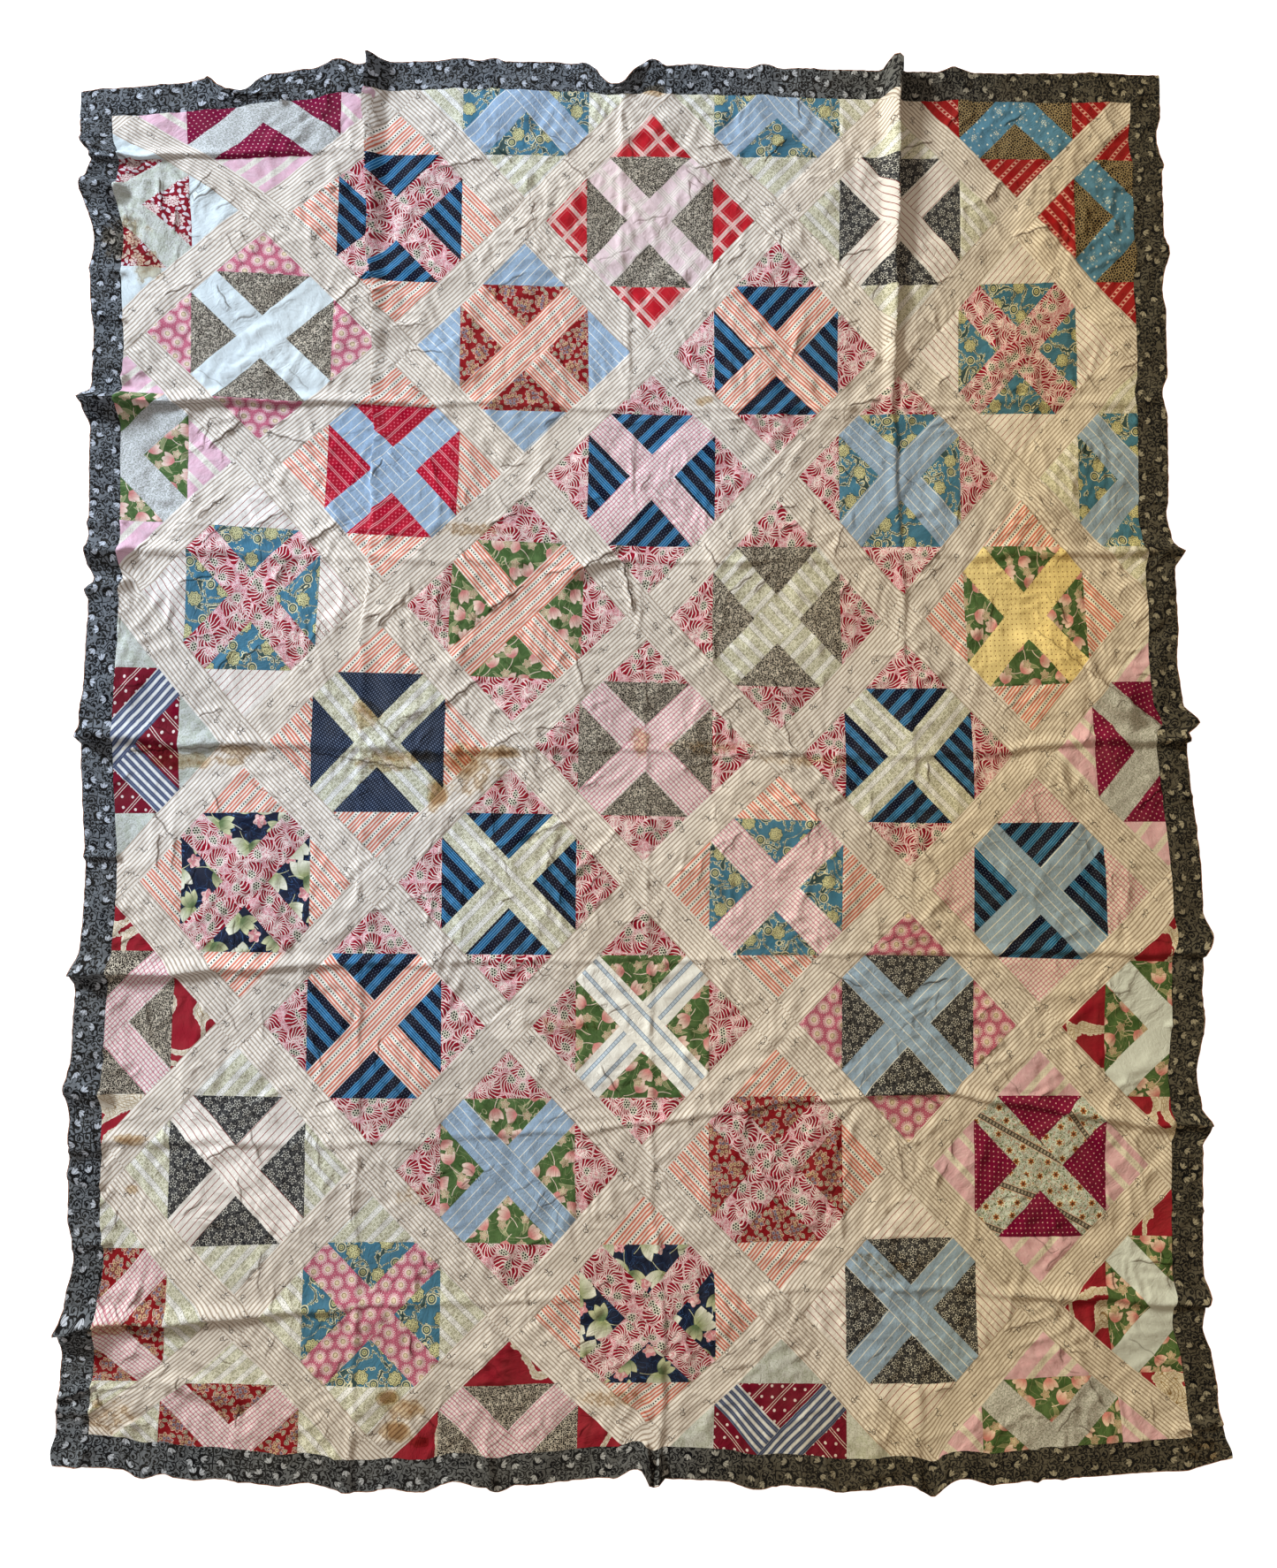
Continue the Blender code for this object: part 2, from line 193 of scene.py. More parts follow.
# %% Storage folds
# Folds that run up the quilt: s at five rows of blocks from head to foot, and heights at the
# head hem, at those rows and at the foot hem. Folds that run across: t on five lines from left
# to right, and heights at the left hem, on those lines and at the right hem. steep tells at the
# same five places which side is the sharper one: -1 the left or lower, +1 the right or upper.
# half is half the fold's width there, over how far its edge lies over the cloth beside it, and
# taken how much cloth it has pulled in from that side.
NONE = (0.0, 0.0, 0.0, 0.0, 0.0)
ACROSS_HALF = (0.018, 0.012, 0.008, 0.010, 0.017)
Fold = namedtuple(
    "Fold", "name places heights steep half over taken", defaults=[ACROSS_HALF, NONE, NONE]
)
LONG_FOLDS = [
    Fold(
        "left", (-0.429, -0.414, -0.412, -0.410, -0.410),
        (0.026, 0.014, 0.003, 0.002, 0.002, 0.003, 0.008),
        (-0.9, -0.8, -0.3, +0.3, +0.3),
        (0.024, 0.011, 0.007, 0.006, 0.009),
        (0.007, 0.004, 0.001, 0.001, 0.001), (0.025, 0.006, 0.0, 0.0, 0.0),
    ),
    Fold(
        "middle", (-0.044, -0.034, +0.000, +0.012, +0.020),
        (0.010, 0.003, 0.0015, 0.002, 0.002, 0.003, 0.016),
        (-0.6, +0.7, +0.7, +0.4, +0.3),
        (0.009, 0.007, 0.006, 0.006, 0.010),
        (0.001, 0.001, 0.001, 0.001, 0.002),
    ),
    Fold(
        "right", (+0.376, +0.376, +0.390, +0.392, +0.395),
        (0.030, 0.026, 0.005, 0.002, 0.001, 0.0015, 0.006),
        (+0.8, +0.8, +0.4, +0.3, +0.3),
        (0.020, 0.012, 0.007, 0.006, 0.009),
        (0.0065, 0.004, 0.002, 0.001, 0.001),
    ),
]
CROSS_FOLDS = [
    Fold(
        "corner", (0.925, 0.928, 0.930, 0.930, 0.930),
        (0.014, 0.008, 0.000, 0.000, 0.000, 0.000, 0.000),
        (-0.6, -0.6, -0.6, -0.6, -0.6),
    ),
    Fold(
        "shoulder", (0.497, 0.516, 0.518, 0.523, 0.528),
        (0.020, 0.013, 0.004, 0.002, 0.002, 0.003, 0.006),
        (-0.8, -0.7, -0.5, -0.4, -0.4),
    ),
    Fold(
        "upper", (0.264, 0.270, 0.282, 0.293, 0.298),
        (0.009, 0.006, 0.002, 0.003, 0.002, 0.007, 0.018),
        (-0.5, -0.4, -0.6, -0.4, -0.5),
    ),
    Fold(
        "waist", (0.010, -0.008, -0.003, 0.002, 0.020),
        (0.017, 0.009, 0.004, 0.003, 0.003, 0.008, 0.026),
        (-0.6, -0.7, -0.7, -0.6, -0.6),
    ),
    Fold(
        "lower", (-0.336, -0.318, -0.312, -0.300, -0.290),
        (0.020, 0.011, 0.004, 0.002, 0.003, 0.006, 0.016),
        (-0.7, -0.6, -0.4, -0.5, -0.6),
    ),
    Fold(
        "shin", (-0.572, -0.570, -0.545, -0.505, -0.548),
        (0.008, 0.005, 0.003, 0.003, 0.005, 0.008, 0.018),
        (-0.5, -0.5, -0.6, -0.5, -0.5),
    ),
    Fold(
        "foot", (-0.811, -0.803, -0.782, -0.785, -0.806),
        (0.026, 0.014, 0.004, 0.002, 0.003, 0.008, 0.016),
        (-0.7, -0.6, -0.5, -0.5, -0.6),
    ),
]

# %% Slanting folds
STRAY_FOLD_HALF = 0.030
STRAY_FOLD_END = 0.040
StrayFold = namedtuple("StrayFold", "name start_s start_t end_s end_t height")
STRAY_FOLDS = [
    StrayFold("tuck to the right hem", 0.555, 0.185, 0.752, 0.036, 0.012),
    StrayFold("tuck above it", 0.570, 0.395, 0.690, 0.290, 0.007),
    StrayFold("pucker by the middle fold", -0.150, 0.236, -0.060, 0.290, 0.007),
    StrayFold("slack at the left hem", -0.700, -0.905, -0.560, -0.955, 0.006),
]

# %% Waves of the hems
# Each wave: its place along the hem, how far the hem stands out there, half its length, which
# side falls off the sooner (-1 the foot or left, +1 the head or right) and its share at the seam.
SEAM_SHARE = 0.55
WAVE_REACH = 0.12
HEM_RISE = 0.35
Wave = namedtuple("Wave", "at out half steep seam", defaults=[0.0, SEAM_SHARE])
LEFT_WAVES = [
    Wave(+0.900, -0.015, 0.032), Wave(+0.850, +0.007, 0.032, +1.0), Wave(+0.776, -0.010, 0.050),
    Wave(+0.610, -0.005, 0.080), Wave(+0.511, +0.009, 0.026, +0.9), Wave(+0.288, +0.001, 0.024),
    Wave(+0.243, -0.009, 0.024), Wave(+0.230, +0.007, 0.014), Wave(+0.044, +0.003, 0.034),
    Wave(-0.337, +0.006, 0.028, -0.6), Wave(-0.500, +0.006, 0.045), Wave(-0.590, -0.003, 0.030),
    Wave(-0.745, -0.011, 0.060), Wave(-0.829, +0.002, 0.028, -0.8), Wave(-1.015, +0.007, 0.030),
]
RIGHT_WAVES = [
    Wave(-0.100, -0.003, 1.500, 0.0, 0.0), Wave(+0.945, -0.008, 0.040), Wave(+0.905, +0.004, 0.014),
    Wave(+0.762, +0.007, 0.030), Wave(+0.706, -0.004, 0.040), Wave(+0.541, -0.010, 0.032),
    Wave(+0.357, -0.006, 0.035), Wave(+0.296, +0.013, 0.020, +0.8), Wave(+0.130, -0.006, 0.060),
    Wave(+0.040, +0.021, 0.026, -0.9), Wave(-0.275, +0.014, 0.034, -0.5),
    Wave(-0.391, +0.005, 0.040), Wave(-0.470, -0.008, 0.045), Wave(-0.551, +0.012, 0.028, -0.7),
    Wave(-0.780, +0.008, 0.026, -0.6), Wave(-0.826, -0.008, 0.035), Wave(-0.948, -0.004, 0.040),
    Wave(-1.020, +0.008, 0.034),
]
HEAD_WAVES = [
    Wave(-0.885, -0.008, 0.050), Wave(-0.638, -0.027, 0.048, 0.0, 0.1), Wave(-0.480, +0.011, 0.034),
    Wave(-0.430, +0.004, 0.020), Wave(-0.290, +0.004, 0.024), Wave(-0.239, +0.005, 0.020),
    Wave(-0.052, -0.041, 0.046, 0.0, 0.05), Wave(+0.006, +0.009, 0.022), Wave(+0.076, +0.003, 0.045),
    Wave(+0.178, +0.006, 0.026), Wave(+0.376, +0.015, 0.019), Wave(+0.472, +0.006, 0.030),
]
FOOT_WAVES = [
    Wave(+0.000, -0.004, 1.800, 0.0, 0.0), Wave(-0.850, -0.008, 0.030), Wave(-0.701, +0.010, 0.030),
    Wave(-0.640, +0.006, 0.050), Wave(-0.466, -0.010, 0.048), Wave(-0.352, -0.006, 0.030),
    Wave(-0.260, -0.013, 0.042), Wave(-0.200, +0.008, 0.024, -0.6), Wave(-0.060, -0.003, 0.050),
    Wave(-0.004, -0.015, 0.030), Wave(+0.019, +0.010, 0.016), Wave(+0.165, +0.009, 0.040),
    Wave(+0.285, +0.004, 0.035), Wave(+0.370, -0.010, 0.050), Wave(+0.419, +0.009, 0.024, +0.9),
    Wave(+0.458, -0.016, 0.045), Wave(+0.563, +0.005, 0.010, +0.8), Wave(+0.560, -0.006, 0.110),
    Wave(+0.600, +0.003, 0.012), Wave(+0.852, -0.022, 0.090),
]


# %% Reading the tables
# A fold's sharp side is narrower than half its width by this share, and its soft side wider.
SHARP_SIDE = 0.55
SOFT_SIDE = 0.25


def mix(low, high, share):
    return low + (high - low) * share


def eased(share):
    """0 to 1 with level ends."""
    share = np.clip(share, 0.0, 1.0)
    return share * share * (3.0 - 2.0 * share)


def along(values, place):
    """Reads a row of evenly spaced values at places counted in values, on a smooth curve.

    values is a row of numbers, or a row of arrays with a number for each place."""
    values = np.asarray(values, float)
    last = len(values) - 1
    place = np.clip(place, 0.0, last)
    low = np.minimum(place.astype(int), last - 1)
    share = place - low
    each = np.arange(len(place))

    def read(index):
        return values[index] if values.ndim == 1 else values[index, each]

    start, end = read(low), read(low + 1)
    slope_start = 0.5 * (end - read(np.maximum(low - 1, 0)))
    slope_end = 0.5 * (read(np.minimum(low + 2, last)) - start)
    bend = start - end
    cubic = 2.0 * bend + slope_start + slope_end
    square = -3.0 * bend - 2.0 * slope_start - slope_end
    return ((cubic * share + square) * share + slope_start) * share + start


def bell(distance, half):
    """A soft ridge: 1 on its line, 0 and level at half its width."""
    share = np.minimum(np.abs(distance) / half, 1.0)
    return (1.0 - share * share) ** 2


def pinched(distance, half, steep, keen=0.5):
    """A fold's ridge, with one side steeper than the other; keen tells how sharp its crest is."""
    same_side = distance * steep > 0
    uneven = np.where(same_side, -SHARP_SIDE * np.abs(steep), SOFT_SIDE * np.abs(steep))
    share = np.minimum(np.abs(distance) / (half * (1.0 + uneven)), 1.0)
    return (1.0 - keen) * (1.0 - share * share) ** 2 + keen * (1.0 - share) ** 2


def wave_share(depth, seam):
    """How much of a hem wave is left at a depth inside the seam (negative in the border)."""
    border = mix(seam, 1.0, np.clip(-depth / BORDER_WIDTH, 0.0, 1.0))
    return np.where(depth < 0.0, border, seam * (1.0 - eased(depth / WAVE_REACH)))


def hem_wave(waves, place, depth):
    """How far a hem's waves push the cloth out, at places along it and depths inside the seam."""
    return sum(
        wave.out * pinched(place - wave.at, wave.half, wave.steep, 0.0) * wave_share(depth, wave.seam)
        for wave in waves
    )


# %% Where a point lies on the floor
def field_shift(s, t):
    """The shift right and towards the head of points of the field, from LAY."""
    across = s / BLOCK_ACROSS + BLOCKS_TO_SIDE
    down = (BLOCKS_TO_HEAD - t / BLOCK_UP) * 2.0
    rights = [
        along((lay.left + SIDE, lay.west, lay.middle, lay.east, lay.right - SIDE), across)
        for lay in LAY
    ]
    ups = [
        along((lay.up_left, lay.up_west, lay.up_middle, lay.up_east, lay.up_right), across)
        for lay in LAY
    ]
    return along(rights, down), along(ups, down)


def floor_place(s, t):
    """x and y on the floor of points of the flat quilt."""
    right, up = field_shift(np.clip(s, -SIDE, SIDE), np.clip(t, -HEAD, HEAD))
    over_right, over_up = fold_pull(s, t)
    x, y = s + right + over_right, t + up + over_up
    from_side, from_end = SIDE - np.abs(s), HEAD - np.abs(t)
    right_out, left_out = hem_wave(RIGHT_WAVES, y, from_side), hem_wave(LEFT_WAVES, y, from_side)
    head_out, foot_out = hem_wave(HEAD_WAVES, x, from_end), hem_wave(FOOT_WAVES, x, from_end)
    x = x + np.where(s > 0, right_out, -left_out)
    y = y + np.where(t > 0, head_out, -foot_out)
    return x - OUTLINE_MIDDLE[0], y - OUTLINE_MIDDLE[1]


# %% How high the folds hold it
# TIP is how far a cross fold leans over its sharper side, over its height. KEEN tells how sharp
# the crests are, STRAY how far a fold's line strays, and TAKEN_OVER where cloth is taken in.
STRAY = 0.0016
LONG_KEEN = 0.1
CROSS_KEEN = 0.25
TIP = 0.5
TAKEN_OVER = 0.008


def fold_height(heights, place, reach):
    """A fold's height at places from -reach to reach, with a hem value at each end."""
    inner = heights[1:-1]
    height = along(inner, (place + reach) / (2.0 * reach) * (len(inner) - 1))
    before = mix(heights[1], heights[0], np.clip((-reach - place) / BORDER_WIDTH, 0.0, 1.0))
    after = mix(heights[-2], heights[-1], np.clip((place - reach) / BORDER_WIDTH, 0.0, 1.0))
    height = np.where(place < -reach, before, np.maximum(height, 0.0))
    return np.where(place > reach, after, height)


def wander(place):
    """How far a fold's line strays from its table, at places along it."""
    return STRAY * (np.sin(place * 31.0) + np.sin(place * 53.0 + 2.0) - np.sin(place * 17.0))


def down_fold(values, t):
    """A long fold's value, read from its five values from head to foot."""
    return along(values, (HEAD - t) / (2.0 * HEAD) * (len(values) - 1))


def across_fold(values, s):
    """A cross fold's value, read from its five values from left to right."""
    return along(values, (s + SIDE) / (2.0 * SIDE) * (len(values) - 1))


def long_ridge(fold, s, t):
    """The profile of a fold that runs up the quilt: 1 on its crest."""
    off = s - down_fold(fold.places, t) - wander(t)
    return pinched(off, down_fold(fold.half, t), down_fold(fold.steep, t), LONG_KEEN)


def cross_ridge(fold, s, t):
    """The profile of a fold that runs across."""
    off = t - across_fold(fold.places, s) - wander(s + fold.places[0])
    return pinched(off, across_fold(fold.half, s), across_fold(fold.steep, s), CROSS_KEEN)


def fold_pull(s, t):
    """How folds move the cloth: each leans over its sharper side and takes in some cloth there."""
    right, up = np.zeros_like(s), np.zeros_like(t)
    for fold in LONG_FOLDS:
        side = np.sign(down_fold(fold.steep, t))
        right += side * down_fold(fold.over, t) * long_ridge(fold, s, t)
        off = side * (s - down_fold(fold.places, t) - wander(t))
        near = eased(off / TAKEN_OVER) * np.clip(1.0 - off / BLOCK_ACROSS, 0.0, 1.0)
        right -= side * down_fold(fold.taken, t) * near
    for fold in CROSS_FOLDS:
        lean = TIP * across_fold(fold.steep, s) * fold_height(fold.heights, s, SIDE)
        up += lean * cross_ridge(fold, s, t)
    return right, up


def stray_lift(fold, s, t):
    """The height of a slanting fold, which runs out softly at both ends."""
    run = Vector((fold.end_s - fold.start_s, fold.end_t - fold.start_t))
    length = run.length
    run.normalize()
    reached = (s - fold.start_s) * run.x + (t - fold.start_t) * run.y
    aside = (s - fold.start_s) * run.y - (t - fold.start_t) * run.x
    ends = eased(reached / STRAY_FOLD_END) * eased((length - reached) / STRAY_FOLD_END)
    return fold.height * pinched(aside, STRAY_FOLD_HALF, 0.5) * ends


def hem_lift(s, t):
    """How high the hem waves tip the border up, from nothing at its seam."""
    side_share = np.clip((np.abs(s) - SIDE) / BORDER_WIDTH, 0.0, 1.0)
    end_share = np.clip((np.abs(t) - HEAD) / BORDER_WIDTH, 0.0, 1.0)
    hem = np.full_like(s, -BORDER_WIDTH)
    side = np.where(s > 0, hem_wave(RIGHT_WAVES, t, hem), hem_wave(LEFT_WAVES, t, hem))
    end = np.where(t > 0, hem_wave(HEAD_WAVES, s, hem), hem_wave(FOOT_WAVES, s, hem))
    return HEM_RISE * (np.abs(side) * side_share + np.abs(end) * end_share)


def lift(s, t):
    """How high the folds hold points of the cloth: where two meet, the higher one leads."""
    total = hem_lift(s, t) ** 3
    for fold in STRAY_FOLDS:
        total += stray_lift(fold, s, t) ** 3
    for fold in LONG_FOLDS:
        total += (long_ridge(fold, s, t) * fold_height(fold.heights, -t, HEAD)) ** 3
    for fold in CROSS_FOLDS:
        total += (cross_ridge(fold, s, t) * fold_height(fold.heights, s, SIDE)) ** 3
    return total ** (1.0 / 3.0)


# %% [markdown]
# ## Small creases
# Between its folds thin cotton is never flat. It has slow swells, fine ripples and short sharp
# creases where it was crushed in the stack. A cloth simulation would give other creases than
# the ones in the photograph, so the main ones are listed here by their ends in the photograph,
# and seeded noise gives the ripples between them.

# %% Noise and ripples
NOISE_REACH = 1.6


def soft_noise(x, y, size, seed):
    """A smooth random field from 0 to 1 with bumps about size across."""
    count = int(2 * NOISE_REACH / size) + 3
    knots = np.random.default_rng(seed).random((count, count))
    column = np.clip((x + NOISE_REACH) / size, 0, count - 2.001)
    row = np.clip((y + NOISE_REACH) / size, 0, count - 2.001)
    left, below = column.astype(int), row.astype(int)
    right_share, up_share = eased(column - left), eased(row - below)
    bottom = mix(knots[below, left], knots[below, left + 1], right_share)
    top = mix(knots[below + 1, left], knots[below + 1, left + 1], right_share)
    return mix(bottom, top, up_share)


def turned(x, y, angle):
    return x * math.cos(angle) + y * math.sin(angle), y * math.cos(angle) - x * math.sin(angle)


def ripples(x, y, size, angle, seed):
    """Ridges that run along a direction, bent by slower noise, with smooth cloth between."""
    u, v = turned(x, y, angle)
    bend = soft_noise(u, v, 3.0 * size, seed + 1) * 4.0 * size
    field = soft_noise((u + bend) / 2.4, v + bend, size, seed)
    here = eased(2.6 * soft_noise(x, y, 0.07, seed + 2) - 0.9)
    return here * (1.0 - np.abs(2.0 * field - 1.0)) ** 2


# size, angle and height of swells and of ripples, and the seed of each kind
SWELLS = [(0.105, 0.4, 0.0026, 11), (0.042, 1.1, 0.0018, 12)]
RIPPLES = [
    (0.030, 0.6, 0.0024, 14), (0.028, 2.3, 0.0022, 20), (0.021, 1.3, 0.0020, 26),
    (0.020, 2.8, 0.0020, 32), (0.014, 0.9, 0.0016, 38), (0.014, 2.0, 0.0016, 44),
]


def swell(x, y):
    """The height of swells and ripples, from 0 up, in metres."""
    height = np.zeros_like(x)
    for size, angle, high, seed in SWELLS:
        height += high * soft_noise(*turned(x, y, angle), size, seed)
    for size, angle, high, seed in RIPPLES:
        height += high * ripples(x, y, size, angle, seed)
    return height


# %% Creases, by the photograph's pixels
# Both ends, height in millimetres, how dark the painted shadow line at its foot is, and half its
# width in millimetres. The sharper side and its line lie to the right of the way from end to end.
Crease = namedtuple("Crease", "x1 y1 x2 y2 height dark half", defaults=[7.5])
CREASES = [
    Crease(240, 505, 272, 480, 4.0, 0.9), Crease(305, 490, 350, 503, 3.0, 0.7),
    Crease(380, 345, 415, 312, 3.5, 0.9), Crease(497, 192, 543, 183, 3.0, 0.7),
    Crease(640, 183, 660, 200, 3.0, 0.7), Crease(583, 265, 605, 250, 3.0, 0.8),
    Crease(785, 195, 825, 183, 3.0, 0.7), Crease(1115, 230, 1130, 210, 3.0, 0.8),
    Crease(1150, 268, 1180, 260, 3.0, 0.7), Crease(350, 615, 380, 595, 3.5, 0.9),
    Crease(430, 705, 460, 675, 3.0, 0.9), Crease(500, 800, 540, 770, 3.5, 0.9),
    Crease(560, 845, 585, 830, 3.5, 0.7), Crease(555, 690, 590, 665, 3.5, 0.9),
    Crease(650, 650, 700, 620, 4.5, 0.9), Crease(620, 650, 705, 635, 3.5, 0.6),
    Crease(716, 690, 705, 640, 5.0, 0.9), Crease(860, 850, 905, 855, 3.0, 0.5),
    Crease(775, 870, 850, 850, 2.5, 0.5), Crease(560, 960, 640, 930, 2.5, 0.5),
    Crease(640, 1000, 700, 940, 3.0, 0.5), Crease(150, 850, 290, 842, 3.0, 0.6),
    Crease(350, 850, 470, 870, 3.0, 0.6), Crease(1312, 825, 1240, 772, 8.0, 0.7, 12.0),
    Crease(1240, 772, 1172, 718, 5.0, 0.6, 9.0),
]

# %% Creases across the border, from the head down both sides, then along the head and the foot
BORDER_CREASES = [
    Crease(93, 162, 150, 185, 9.0, 0.8, 11.0), Crease(132, 216, 88, 208, 17.0, 0.1, 28.0),
    Crease(98, 309, 140, 312, 6.0, 0.3, 9.0), Crease(103, 357, 140, 366, 6.0, 0.4, 9.0),
    Crease(106, 403, 140, 430, 8.0, 0.4, 10.0), Crease(136, 455, 86, 455, 18.0, 0.0, 34.0),
    Crease(140, 627, 96, 627, 14.0, 0.0, 23.0), Crease(142, 660, 96, 668, 9.0, 0.2, 16.0),
    Crease(92, 970, 132, 970, 8.0, 0.5, 11.0), Crease(116, 1236, 74, 1228, 13.0, 0.2, 24.0),
    Crease(92, 1106, 74, 1104, 12.0, 0.2, 20.0), Crease(84, 834, 100, 834, 11.0, 0.2, 16.0),
    Crease(76, 1302, 114, 1300, 8.0, 0.4, 12.0), Crease(80, 1328, 114, 1340, 7.0, 0.3, 11.0),
    Crease(88, 1409, 120, 1405, 8.0, 0.5, 11.0), Crease(104, 1505, 62, 1505, 20.0, 0.0, 28.0),
    Crease(70, 1581, 106, 1566, 8.0, 0.6, 11.0), Crease(104, 1592, 68, 1593, 8.0, 0.3, 14.0),
    Crease(96, 596, 140, 592, 5.0, 0.2, 10.0), Crease(90, 1192, 118, 1188, 4.0, 0.2, 10.0),
    Crease(1292, 568, 1324, 574, 6.0, 0.5, 9.0),
    Crease(1322, 1161, 1364, 1170, 4.0, 0.3, 9.0), Crease(1326, 1366, 1364, 1368, 4.0, 0.4, 8.0),
    Crease(1300, 668, 1324, 674, 4.0, 0.3, 9.0), Crease(1318, 905, 1352, 902, 4.0, 0.3, 9.0),
    Crease(1330, 1616, 1380, 1606, 6.0, 0.4, 10.0), Crease(230, 89, 272, 113, 9.0, 0.9, 9.0),
    Crease(272, 113, 312, 110, 7.0, 0.8, 9.0), Crease(314, 92, 321, 118, 5.0, 0.7, 8.0),
    Crease(660, 78, 700, 98, 6.0, 0.9, 9.0), Crease(703, 97, 738, 74, 6.0, 0.8, 9.0),
    Crease(182, 97, 190, 112, 4.0, 0.3, 8.0), Crease(552, 82, 560, 100, 4.0, 0.3, 8.0),
    Crease(1078, 82, 1092, 98, 5.0, 0.3, 9.0), Crease(738, 1680, 733, 1636, 9.0, 0.9, 10.0),
    Crease(724, 1640, 730, 1664, 6.0, 0.5, 9.0), Crease(378, 1646, 388, 1686, 6.0, 0.5, 11.0),
    Crease(550, 1642, 556, 1682, 6.0, 0.4, 10.0), Crease(1064, 1654, 1066, 1692, 7.0, 0.6, 11.0),
    Crease(1010, 1658, 950, 1681, 5.0, 0.5, 9.0), Crease(1174, 1652, 1176, 1682, 4.0, 0.4, 8.0),
    Crease(86, 1664, 102, 1636, 6.0, 0.8, 9.0), Crease(262, 1640, 270, 1674, 4.0, 0.3, 9.0),
    Crease(868, 1652, 880, 1684, 5.0, 0.3, 10.0), Crease(930, 1650, 944, 1686, 5.0, 0.3, 10.0),
]

# %% Small scattered creases between them
MARK_REACH = 0.012
CREASE_STRAY = 0.0012
CREASE_STEEP = 0.7
SCATTERED = 1150
SCATTER_SEED = 77
SCATTERED_HALF = 0.0075
CREASE_WAYS = (0.6, 0.9, 0.2, 2.2, 2.6, 1.6)
Line = namedtuple("Line", "start run length height dark half")


def crease_lines():
    """The listed creases and the seeded ones, as lines on the floor."""
    made = []
    for crease in CREASES + BORDER_CREASES:
        start = Vector(from_photo(crease.x1, crease.y1))
        run = Vector(from_photo(crease.x2, crease.y2)) - start
        half = 0.001 * crease.half
        made.append(Line(start, run.normalized(), run.length, crease.height, crease.dark, half))
    toss = np.random.default_rng(SCATTER_SEED)
    for _ in range(SCATTERED):
        start = Vector((toss.uniform(-SIDE, SIDE), toss.uniform(-HEAD, HEAD)))
        way = toss.choice(CREASE_WAYS) + toss.normal(0.0, 0.2)
        run = Vector((math.cos(way), math.sin(way)))
        length, height = toss.uniform(0.012, 0.050), toss.uniform(0.8, 2.6)
        # How dark the painted shadow line at the crease's foot is.
        dark = 0.36 * height * toss.random()
        made.append(Line(start, run, length, height, dark, SCATTERED_HALF))
    return made


def creases(x, y):
    """Height of the creases, the distance to the painted shadow line of one, and how dark it is there.
    """
    height, gap, dark = np.zeros_like(x), np.full_like(x, MARK_REACH), np.zeros_like(x)
    for line in crease_lines():
        middle = line.start + line.run * line.length / 2
        reach = line.length / 2 + max(MARK_REACH, 1.2 * line.half)
        near = np.flatnonzero((np.abs(x - middle.x) < reach) & (np.abs(y - middle.y) < reach))
        right, up = x[near] - line.start.x, y[near] - line.start.y
        reached = right * line.run.x + up * line.run.y
        aside = right * line.run.y - up * line.run.x + CREASE_STRAY * np.sin(reached * 260.0)
        past = np.maximum(np.maximum(-reached, reached - line.length), 0.0)
        ends = eased(1.0 - past / line.half)
        ridge = pinched(aside, line.half, CREASE_STEEP) * ends
        height[near] = np.maximum(height[near], 0.001 * line.height * ridge)
        foot = aside - 0.25 * line.half
        mark = ends * eased(2.0 - np.abs(foot) / (MARK_REACH / 2))
        here = mark > dark[near] / max(line.dark, 0.01)
        closer = near[here]
        gap[closer] = foot[here]
        dark[closer] = line.dark * mark[here]
    return height, gap, dark


# %% [markdown]
# ## Cutting the patches
# Every block is a square of 238 mm on its point: a cross of 50 mm strips, one whole and two
# half ones, with a triangle towards the middle and one towards the corner in each quarter. The
# sashing is 50 mm wide too. All seams lie on lines at 45 degrees, so the whole field is one net
# of small cells along those lines, and the triangles' long sides run through the cells' own
# diagonals. Each cell's two triangles are dealt to the patch that they belong to.

# %% Seam lines of one pitch
STRIP = 0.050
QUARTER = 0.094
BLOCK = STRIP + 2 * QUARTER
PITCH = BLOCK + STRIP
STRIP_CELLS = 12
QUARTER_CELLS = 22
BLOCK_CELLS = STRIP_CELLS + 2 * QUARTER_CELLS
PITCHES_EACH_WAY = 4
DIAGONAL = math.sqrt(2.0)
CLOSE = 1e-6
TO_ACROSS = BLOCK_ACROSS / (PITCH * DIAGONAL)
TO_UP = BLOCK_UP / (PITCH * DIAGONAL)


def pitch_lines():
    """Places of the cell lines, from the middle of one sashing strip to the next."""
    marks = [-PITCH / 2, -BLOCK / 2, -STRIP / 2, STRIP / 2, BLOCK / 2, PITCH / 2]
    counts = [STRIP_CELLS // 2, QUARTER_CELLS, STRIP_CELLS, QUARTER_CELLS, STRIP_CELLS // 2]
    spans = [np.linspace(*pair, count + 1)[:-1] for *pair, count in zip(marks, marks[1:], counts)]
    return np.concatenate(spans)


one_pitch = pitch_lines()
lines = np.concatenate(
    [k * PITCH + one_pitch for k in range(-PITCHES_EACH_WAY, PITCHES_EACH_WAY + 1)]
    + [np.array([(PITCHES_EACH_WAY + 0.5) * PITCH])]
)
print(len(lines), "cell lines each way,", round(1000 * BLOCK / BLOCK_CELLS, 2), "mm apart")

